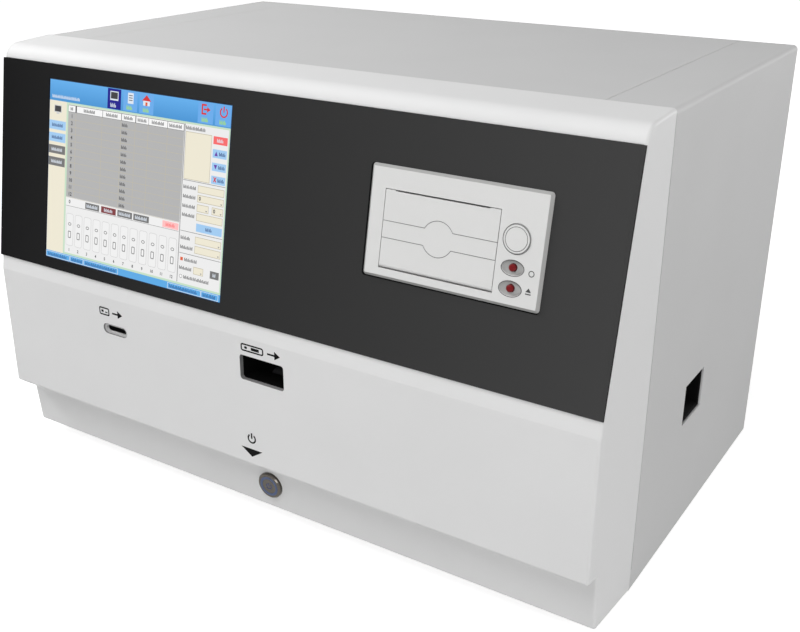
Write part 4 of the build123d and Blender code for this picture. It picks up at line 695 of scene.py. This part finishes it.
def screw_blank():
    """Pan head in millimetres: a low rim and a dome over it."""
    profile = [(SCREW_RADIUS, 0.0)]
    for step in range(DOME_STEPS + 1):
        a = step / DOME_STEPS * pi / 2
        profile.append((SCREW_RADIUS - SCREW_RIM * (1 - cos(a)),
                        SCREW_RIM + (SCREW_HEIGHT - SCREW_RIM) * sin(a)))
    head = bmesh.new()
    levels = []
    for radius, height in profile:
        outline = oval(0, 0, radius, radius, ROUND_STEPS)
        levels.append([head.verts.new((x, y, height)) for x, y in outline])
    for low_ring, high_ring in zip(levels, levels[1:]):
        for i in range(ROUND_STEPS):
            j = (i + 1) % ROUND_STEPS
            head.faces.new((low_ring[i], low_ring[j], high_ring[j], high_ring[i]))
    head.faces.new(levels[-1])
    head.faces.new(levels[0][::-1])
    return head


def screw_cross():
    """Cutter for the cross recess, from its floor to above the head."""
    cross = bmesh.new()
    quarter = [(CROSS_HALF, CROSS_HALF), (CROSS_HALF, CROSS_REACH), (-CROSS_HALF, CROSS_REACH)]
    star = []
    for _ in range(4):
        star += quarter
        quarter = [(-y, x) for x, y in quarter]
    add_plate(cross, star, SCREW_HEIGHT - CROSS_DEPTH, SCREW_HEIGHT + CUTTER_RISE)
    return cross


def screw_head():
    """Mesh of the head with its recess cut out."""
    solids = []
    for name, work in (("screw_blank", screw_blank()), ("screw_cross", screw_cross())):
        mesh = bpy.data.meshes.new(name)
        work.to_mesh(mesh)
        work.free()
        solids.append(bpy.data.objects.new(name, mesh))
        bpy.context.scene.collection.objects.link(solids[-1])
    blank, cutter = solids
    cut = blank.modifiers.new("cross", "BOOLEAN")
    cut.operation = "DIFFERENCE"
    cut.object = cutter
    depsgraph = bpy.context.evaluated_depsgraph_get()
    finished = bpy.data.meshes.new_from_object(blank.evaluated_get(depsgraph))
    for solid in solids:
        bpy.data.objects.remove(solid)
    return finished


def make_screws():
    rear = face_frame("rear_panel", REAR)
    middle = rear.translation / MM
    head = screw_head()
    work = bmesh.new()
    for number, (x, z) in enumerate((x, z) for x in SCREW_X for z in SCREW_Z):
        copy = head.copy()
        spin = Matrix.Rotation(radians(FIRST_TURN + TURN_STEP * number), 4, "Z")
        copy.transform(Matrix.Translation((middle.x - x, z - middle.z, 0)) @ spin)
        work.from_mesh(copy)
        bpy.data.meshes.remove(copy)
    bpy.data.meshes.remove(head)
    steel = surface("screw_finish", srgb(164, 164, 168), 0.34, metallic=1.0)
    piece("rear_screws", work, rear, steel, "chassis")


# Insulators in the rear sockets, from the middle, width and height of each socket
SOCKETS = ((8.0, 15.0, 8.0), (34.0, 15.0, 8.0), (60.0, 17.0, 15.0), (92.0, 31.0, 12.0))
SOCKET_FLOOR = 18.0
TONGUE_MARGIN = 3.0
TONGUE_THICKNESS = 2.0
TONGUE_BACK = 136.0
TONGUE_FRONT = 148.5


def make_tongues():
    work = bmesh.new()
    for x, width, height in SOCKETS:
        middle = SOCKET_FLOOR + height / 2
        half = width / 2 - TONGUE_MARGIN
        outline = box(x - half, TONGUE_BACK, x + half, TONGUE_FRONT)
        add_plate(work, outline, middle - TONGUE_THICKNESS / 2, middle + TONGUE_THICKNESS / 2)
    black = surface("tongue_finish", srgb(24, 24, 26), 0.50)
    piece("socket_tongues", work, Matrix.Identity(4), black, "chassis")


# Picture on the screen, from its top left corner. Areas and rows of signs run down, points run up
PICTURE = (161.2, 122.0)
MARGIN = 0.4
LAYER = 0.022
LAYER_BASE = 0.015
BACKING_LAYER = -1
COLOURS = {
    "backing": (38, 58, 92),
    "header": (98, 174, 236),
    "tab": (104, 170, 234),
    "status": (88, 168, 228),
    "status_ink": (38, 84, 150),
    "cream": (236, 230, 210),
    "green": (196, 222, 196),
    "panel": (235, 235, 235),
    "navy": (6, 6, 138),
    "pale": (222, 230, 240),
    "lime": (168, 222, 62),
    "ink": (58, 58, 62),
    "deep_blue": (24, 52, 118),
    "red": (212, 48, 50),
    "key_blue": (160, 202, 240),
    "key_grey": (116, 116, 116),
    "white": (246, 246, 246),
    "card": (238, 238, 238),
    "field_grey": (178, 178, 178),
    "tan": (192, 184, 160),
    "line_grey": (146, 146, 146),
    "rim_grey": (206, 206, 206),
    "dark_red": (128, 56, 60),
    "pink": (255, 190, 190),
    "coral": (246, 106, 106),
    "field_cream": (236, 230, 210),
    "purple": (104, 56, 164),
    "orange": (220, 92, 52),
}

# Header with its tabs and icons, side bar, status bar and working panel
HEADER_HEIGHT = 14.0
HEADER_FOOT = (68, 146, 210)
SIDE_RIGHT = 17.1
STATUS_TOP = 117.0
PANEL = (18.8, 15.2, 159.8, 115.6)
OPEN_TAB = (55.4, 0.7, 67.6, 13.6)
TABS = (69.8, 84.1, 134.0, 148.2)
TAB_TOP = 0.8
TAB_WIDTH = 12.4
TAB_FOOT = 13.4
TAB_SIGNS = (72.8, 87.4, 137.3, 151.7)
TAB_SIGN_HEIGHT = 2.6
HEADER_SIGNS = ((2.8, 10, 2.2), (58.2, 2, TAB_SIGN_HEIGHT))
HEADER_SIGN_DOWN = 11.2
WINDOW_ICON = (57.8, 2.3, 65.2, 8.1)
WINDOW_PANE = (58.4, 2.9, 64.6, 7.1)
SHEET_ICON = (73.8, 1.8, 78.8, 8.6)
SHEET_LINES = ((74.7, 3.2, 77.9, 3.7), (74.7, 4.7, 77.9, 5.2), (74.7, 6.2, 77.9, 6.7))
HOUSE_WALLS = (87.4, 5.4, 93.2, 8.4)
HOUSE_DOOR = (89.4, 6.2, 91.2, 8.4)
HOUSE_ROOF = [(86.3, -5.4), (94.3, -5.4), (90.3, -1.7)]
EXIT_ICON = ((136.8, 1.8, 137.9, 8.2), (137.9, 1.8, 140.8, 2.9), (137.9, 7.1, 140.8, 8.2),
             (138.6, 4.5, 141.3, 5.5))
EXIT_HEAD = [(141.3, -3.3), (144.0, -5.0), (141.3, -6.7)]
OFF_ICON = (154.7, -5.2, 3.2, 0.9)
MONITOR_ICON = ((5.0, 16.8, 12.2, 21.8), (7.2, 21.8, 10.0, 22.8))
MONITOR_GLASS = (5.6, 17.4, 11.6, 21.2)

# Segments of the status bar: left, right, start of the signs and their number
SEGMENTS = ((0.2, 24.0, 2.4, 7), (24.5, 37.5, 26.0, 4), (38.0, 71.0, 39.6, 11),
            (116.0, 144.8, 117.6, 9), (145.0, 159.4, 146.6, 4))
SEGMENT_TOP = 117.5
SEGMENT_FOOT = 121.4
SEGMENT_LINE = 0.3
SEGMENT_SIGN_DOWN = 119.5

# Table and the bar of keys under it
TABLE_LEFT = 18.8
TABLE_RIGHT = 123.5
TABLE_TOP = 15.5
TABLE_BODY = 20.1
TABLE_FOOT = 77.0
TABLE_COLUMNS = ((19.0, 25.6), (26.9, 51.2), (51.6, 68.5), (69.0, 81.2), (81.9, 92.8), (93.1, 109.2),
                 (109.6, 123.1))
CELL_TOP = 15.8
CELL_FOOT = 19.9
COLUMN_LINES = (26.2, 51.0, 68.4, 81.2, 92.8, 109.5)
COLUMN_LINE_HALF = 0.12
COLUMN_LINE_TOP = 20.2
COLUMN_LINE_FOOT = 76.9
ROW_LINE = (19.0, 2.2, 123.2, 2.42)
TABLE_ROWS = 12
ROW_PITCH = 4.75
ROW_FIRST = 22.75
ROW_SIGNS = 69.4
KEY_BAR = (18.8, 77.2, 123.5, 82.9)
KEY_BAR_LINE = (18.9, 82.9, 123.4, 83.2)

# Card holders, each part with its middle down, its half sizes and its corner
HOLDER_FIRST = 23.25
HOLDER_PITCH = 8.69
HOLDER_RIM = (99.25, (3.5, 11.15), 1.5)
HOLDER_BODY = (99.25, (3.15, 10.8), 1.2)
WINDOW_MARK = (102.6, (1.5, 2.5), 0.7)
WINDOW_LIGHT = (102.6, (0.8, 1.8), 0.3)
WELL_DOWN = 95.4
WELL_MARK = (1.6, 1.15)
WELL_LIGHT = (0.95, 0.55)
WELL_STEPS = 16

# Keys, fields and marks
SIDE_KEYS = ((0.5, 27.3, 16.6, 33.3), (0.5, 35.5, 16.6, 41.5))
ICON_KEYS = ((147.8, 27.8, 159.1, 33.0), (147.8, 36.0, 159.1, 41.0), (147.8, 44.0, 159.1, 49.0))
ICON_KEY_SIGNS = 153.0
UP_ICON = [(149.3, -31.8), (152.0, -31.8), (150.65, -29.0)]
DOWN_ICON = [(149.3, -37.2), (150.65, -40.0), (152.0, -37.2)]
CROSS_ICON = [[(149.5, -45.0), (150.0, -44.5), (152.0, -47.5), (151.5, -48.0)],
              [(151.5, -44.5), (152.0, -45.0), (150.0, -48.0), (149.5, -47.5)]]
FIELD_KEY = (137.8, 75.5, 159.0, 80.6)
GREY_KEYS = ((0.5, 43.8, 16.6, 49.5), (0.5, 51.9, 16.6, 57.8), (37.9, 78.2, 51.2, 82.5),
             (68.4, 78.2, 81.9, 82.5), (83.1, 78.2, 97.1, 82.5), (151.5, 103.2, 158.8, 108.0))
DARK_KEY = (53.1, 78.2, 66.9, 82.5)
PINK_KEY = (109.1, 78.2, 123.0, 82.5)
CORAL_KEY = (147.8, 20.0, 159.1, 24.8)
FIELDS = ((137.5, 51.6, 159.0, 56.2), (137.5, 57.5, 159.0, 62.1), (137.5, 63.4, 147.2, 68.1),
          (149.8, 63.4, 159.0, 68.1), (137.5, 69.1, 159.0, 73.8), (137.5, 83.9, 159.0, 88.5),
          (137.5, 89.8, 159.0, 94.6), (137.5, 103.2, 145.8, 108.0), (125.0, 19.8, 146.5, 49.2))
FIELD_RIM = 0.35
LIST_ARROWS = ((157.2, -62.1), (145.4, -68.1), (157.2, -68.1), (157.2, -88.5), (157.2, -94.6),
               (144.0, -108.0))
LIST_ARROW = [(-0.8, 1.6), (0.8, 1.6), (0.0, 0.6)]
SIGN_ROWS = ((125.4, 53.9, 4), (125.4, 59.8, 4), (125.4, 65.8, 4), (125.4, 71.5, 4), (125.4, 86.2, 3),
             (125.4, 92.2, 4), (125.4, 105.6, 4), (125.0, 17.5, 6), (129.5, 99.9, 4), (129.5, 111.2, 8))
DIVIDERS = ((123.8, 15.3, 124.4, 115.4), (124.8, 49.6, 159.6, 50.0), (124.8, 81.7, 159.6, 82.1),
            (124.8, 96.0, 159.6, 96.4))
CHOICE_MARK = (126.0, 98.8, 128.2, 101.0)
ROUND_CHOICE = (127.1, -111.2)
CHOICE_RIM = 1.3
CHOICE_HOLE = 0.95
CHOICE_STEPS = 20

# Signs, each of a few upright strokes, and plain numbers
SIGN_PITCH = 2.7
SIGN_HEIGHT = 2.2
SIGN_STROKES = 3
STROKE_PITCH = 0.85
STROKE_WIDTH = 0.5
STROKE_SHARES = (1.0, 0.7, 1.0, 0.75, 1.0, 0.6, 0.85)
KEY_SPARE = 2.0
FIGURE_HEIGHT = 2.4
SMALL_HEIGHT = 2.0
FIGURE_LAYER = 3
FIGURE_COLUMN = 22.5
HOLDER_FIGURES = 113.3
ZEROS = ((22.5, -80.2), (139.6, -59.8), (151.8, -65.8))


def area(x0, y0, x1, y1):
    """Box on the screen from its left, top, right and foot, measured down."""
    return box(x0, -y1, x1, -y0)


def areas(places):
    return [area(*place) for place in places]


def frame_lines(x0, y0, x1, y1, width):
    return loop_band(area(x0, y0, x1, y1), area(x0 + width, y0 + width, x1 - width, y1 - width))


def signs(x, y, count, height=SIGN_HEIGHT):
    """Row of short upright strokes from x on, with its middle at y."""
    strokes = []
    for i in range(SIGN_STROKES * count):
        start = x + SIGN_PITCH * (i // SIGN_STROKES) + STROKE_PITCH * (i % SIGN_STROKES)
        rise = height * STROKE_SHARES[i % len(STROKE_SHARES)]
        strokes.append(area(start, y + height / 2 - rise, start + STROKE_WIDTH, y + height / 2))
    return strokes


def centred_signs(x0, y0, x1, y1, most=4):
    """Signs in the middle of a key or a field."""
    count = max(1, min(most, int((x1 - x0 - KEY_SPARE) / SIGN_PITCH)))
    return signs((x0 + x1 - SIGN_PITCH * count) / 2, (y0 + y1) / 2, count)


def screen_header():
    """Header with its tabs and icons, and the bars round the working panel."""
    width, height = PICTURE
    right = width - MARGIN
    header_signs = [
        s for x, count, tall in HEADER_SIGNS
        for s in signs(x, HEADER_SIGN_DOWN, count, tall)
    ]
    tab_signs = [s for x in TAB_SIGNS for s in signs(x, HEADER_SIGN_DOWN, 2, TAB_SIGN_HEIGHT)]
    segment_signs = [s for _, _, x, count in SEGMENTS for s in signs(x, SEGMENT_SIGN_DOWN, count)]
    segment_lines = [
        s for x0, x1, _, _ in SEGMENTS
        for s in frame_lines(x0, SEGMENT_TOP, x1, SEGMENT_FOOT, SEGMENT_LINE)
    ]
    return {
        ("backing", BACKING_LAYER): [area(0, 0, width, height)],
        ("header", 0): [area(MARGIN, MARGIN, right, HEADER_HEIGHT)],
        ("tab", 0.5): [area(x, TAB_TOP, x + TAB_WIDTH, TAB_FOOT) for x in TABS],
        ("status", 0): [area(MARGIN, STATUS_TOP, right, height - MARGIN)],
        ("cream", 0): [area(MARGIN, HEADER_HEIGHT, SIDE_RIGHT, STATUS_TOP)],
        ("green", 0): [area(SIDE_RIGHT, HEADER_HEIGHT, right, STATUS_TOP)],
        ("panel", 0.5): [area(*PANEL)],
        ("navy", 1): [area(*OPEN_TAB)],
        ("pale", 2): header_signs + areas((WINDOW_ICON, SHEET_ICON, HOUSE_WALLS)),
        ("lime", 1): tab_signs,
        ("rim_grey", 1): areas(MONITOR_ICON),
        ("ink", 3): areas((WINDOW_PANE, *SHEET_LINES, MONITOR_GLASS)),
        ("red", 1): [HOUSE_ROOF, *areas(EXIT_ICON), EXIT_HEAD, *power_symbol(*OFF_ICON)],
        ("orange", 2.5): [area(*HOUSE_DOOR)],
        ("pale", 1): segment_lines,
        ("status_ink", 2): segment_signs,
    }


def holder_parts(middles, part):
    """The same part of every card holder."""
    down, half, corner = part
    return [soft_box(((x, -down), half, corner)) for x in middles]


def card_holders():
    """Row of card holders in the status field: rims, bodies, their two marks and their lights."""
    middles = [HOLDER_FIRST + HOLDER_PITCH * i for i in range(TABLE_ROWS)]
    well_marks = [oval(x, -WELL_DOWN, *WELL_MARK, WELL_STEPS) for x in middles]
    well_lights = [oval(x, -WELL_DOWN, *WELL_LIGHT, WELL_STEPS) for x in middles]
    return {
        ("rim_grey", 1): holder_parts(middles, HOLDER_RIM),
        ("card", 2): holder_parts(middles, HOLDER_BODY),
        ("line_grey", 3): well_marks + holder_parts(middles, WINDOW_MARK),
        ("white", 4): well_lights + holder_parts(middles, WINDOW_LIGHT),
    }


def screen_table():
    """Table head, body and rows, with the bar under it."""
    rows = [ROW_FIRST + ROW_PITCH * i for i in range(TABLE_ROWS)]
    cells = [(x0, CELL_TOP, x1, CELL_FOOT) for x0, x1 in TABLE_COLUMNS]
    column_lines = [
        area(x - COLUMN_LINE_HALF, COLUMN_LINE_TOP, x + COLUMN_LINE_HALF, COLUMN_LINE_FOOT)
        for x in COLUMN_LINES
    ]
    row_lines = [shifted(area(*ROW_LINE), 0, -y) for y in rows]
    return {
        ("ink", 1): [area(TABLE_LEFT, TABLE_TOP, TABLE_RIGHT, TABLE_BODY)],
        ("white", 2): areas(cells),
        ("ink", 3.5): [s for cell in cells for s in centred_signs(*cell)],
        ("field_grey", 1): [area(TABLE_LEFT, TABLE_BODY, TABLE_RIGHT, TABLE_FOOT)],
        ("tan", 2): column_lines + row_lines,
        ("ink", 3): [s for y in rows for s in signs(ROW_SIGNS, y, 2)],
        ("card", 1): [area(*KEY_BAR)],
        ("line_grey", 1): [area(*KEY_BAR_LINE)],
    }


def screen_controls():
    """Keys on the left, under the table and in the right column, with its fields and marks."""
    blue_signs = [s for key in SIDE_KEYS for s in centred_signs(*key)]
    blue_signs += [s for _, y0, _, y1 in ICON_KEYS for s in signs(ICON_KEY_SIGNS, (y0 + y1) / 2, 2)]
    blue_signs += centred_signs(*FIELD_KEY, most=2)
    key_signs = [s for key in GREY_KEYS for s in centred_signs(*key)]
    key_signs += centred_signs(*DARK_KEY, most=3) + centred_signs(*CORAL_KEY, most=2)
    field_middles = [
        (x0 + FIELD_RIM, y0 + FIELD_RIM, x1 - FIELD_RIM, y1 - FIELD_RIM) for x0, y0, x1, y1 in FIELDS
    ]
    return {
        ("key_blue", 1): areas((*SIDE_KEYS, *ICON_KEYS, FIELD_KEY)),
        ("deep_blue", 2): blue_signs,
        ("key_grey", 2): areas(GREY_KEYS),
        ("pale", 3): key_signs,
        ("dark_red", 2): [area(*DARK_KEY)],
        ("pink", 2): [area(*PINK_KEY)],
        ("coral", 3): centred_signs(*PINK_KEY, most=3),
        ("coral", 1): [area(*CORAL_KEY)],
        ("tan", 1): areas(FIELDS),
        ("field_cream", 2): areas(field_middles),
        ("ink", 1): [s for x, y, count in SIGN_ROWS for s in signs(x, y, count)],
        ("purple", 2): [UP_ICON, DOWN_ICON],
        ("line_grey", 3): [shifted(LIST_ARROW, *place) for place in LIST_ARROWS],
        ("red", 2): CROSS_ICON,
        ("orange", 1): [area(*CHOICE_MARK)],
        ("line_grey", 1): [*areas(DIVIDERS), oval(*ROUND_CHOICE, CHOICE_RIM, CHOICE_RIM, CHOICE_STEPS)],
        ("white", 2): [oval(*ROUND_CHOICE, CHOICE_HOLE, CHOICE_HOLE, CHOICE_STEPS)],
    }


def screen_figures():
    """Plain numbers of the rows, the card holders and the fields: text, place and height."""
    figures = []
    for i in range(TABLE_ROWS):
        text = str(i + 1)
        figures.append((text, FIGURE_COLUMN, -(ROW_FIRST + ROW_PITCH * i), FIGURE_HEIGHT))
        figures.append((text, HOLDER_FIRST + HOLDER_PITCH * i, -HOLDER_FIGURES, SMALL_HEIGHT))
    return figures + [("0", x, y, FIGURE_HEIGHT) for x, y in ZEROS]


# Glass of the display: its tone, gloss, grain and roughness
GLASS_BLACK = 0.01
GLASS_SPECULAR = 0.1
GLASS_GRAIN = 2500
GLASS_ROUGHNESS = (0.28, 0.42)


def glow(name, colour, foot=None):
    """Display surface that shines in its own colour behind a faint gloss.

    A foot is the colour that it turns into towards the bottom edge of the picture's header."""
    material = bpy.data.materials.new(name)
    material.use_nodes = True
    tree = material.node_tree
    shader = tree.nodes["Principled BSDF"]
    shader.inputs["Base Color"].default_value = (GLASS_BLACK, GLASS_BLACK, GLASS_BLACK, 1)
    shader.inputs["Specular IOR Level"].default_value = GLASS_SPECULAR
    shader.inputs["Emission Color"].default_value = srgb(*colour)
    shader.inputs["Emission Strength"].default_value = 1.0
    if foot:
        up = screen_frame.col[1].to_3d()
        top = screen_frame.translation.dot(up) + PICTURE[1] / 2 * MM
        share = along(tree, up, top - HEADER_HEIGHT * MM, top)
        tree.links.new(mixed(tree, share, srgb(*foot), srgb(*colour)), shader.inputs["Emission Color"])
    place = tree.nodes.new("ShaderNodeTexCoord")
    noise = tree.nodes.new("ShaderNodeTexNoise")
    noise.inputs["Scale"].default_value = GLASS_GRAIN
    tree.links.new(place.outputs["Object"], noise.inputs["Vector"])
    spread = tree.nodes.new("ShaderNodeMapRange")
    spread.inputs["To Min"].default_value, spread.inputs["To Max"].default_value = GLASS_ROUGHNESS
    tree.links.new(noise.outputs["Fac"], spread.inputs["Value"])
    tree.links.new(spread.outputs["Result"], shader.inputs["Roughness"])
    return material


def layer_height(layer):
    """Height of the lower side of a layer, over the backing's."""
    return LAYER_BASE + LAYER * (layer - BACKING_LAYER)


def make_screen():
    """One piece for each colour of the picture, with its plates in thin rising layers."""
    width, height = PICTURE
    place = screen_frame @ Matrix.Translation((-width / 2 * MM, height / 2 * MM, 0))
    by_colour = {}
    for part in (screen_header(), screen_table(), card_holders(), screen_controls()):
        for (colour, layer), outlines in part.items():
            by_colour.setdefault(colour, []).append((layer_height(layer), outlines))
    for colour, groups in by_colour.items():
        work = bmesh.new()
        for low, outlines in groups:
            for outline in outlines:
                add_plate(work, outline, low, low + LAYER)
        if colour == "ink":
            low = layer_height(FIGURE_LAYER)
            for text, x, y, size in screen_figures():
                add_figure(work, text, x, y, size, low, low + LAYER)
        foot = HEADER_FOOT if colour == "header" else None
        finish = glow(f"glow_{colour}", COLOURS[colour], foot)
        piece(f"screen_{colour}", work, place, finish, "chassis")


make_camera()
make_world()
make_floor()
make_lamps()
dress_nodes()
make_marks()
make_recess_shades()
make_printer_trim()
make_fascia_edges()
make_switch()
make_screws()
make_tongues()
make_screen()

bpy.context.scene.view_settings.view_transform = "Standard"
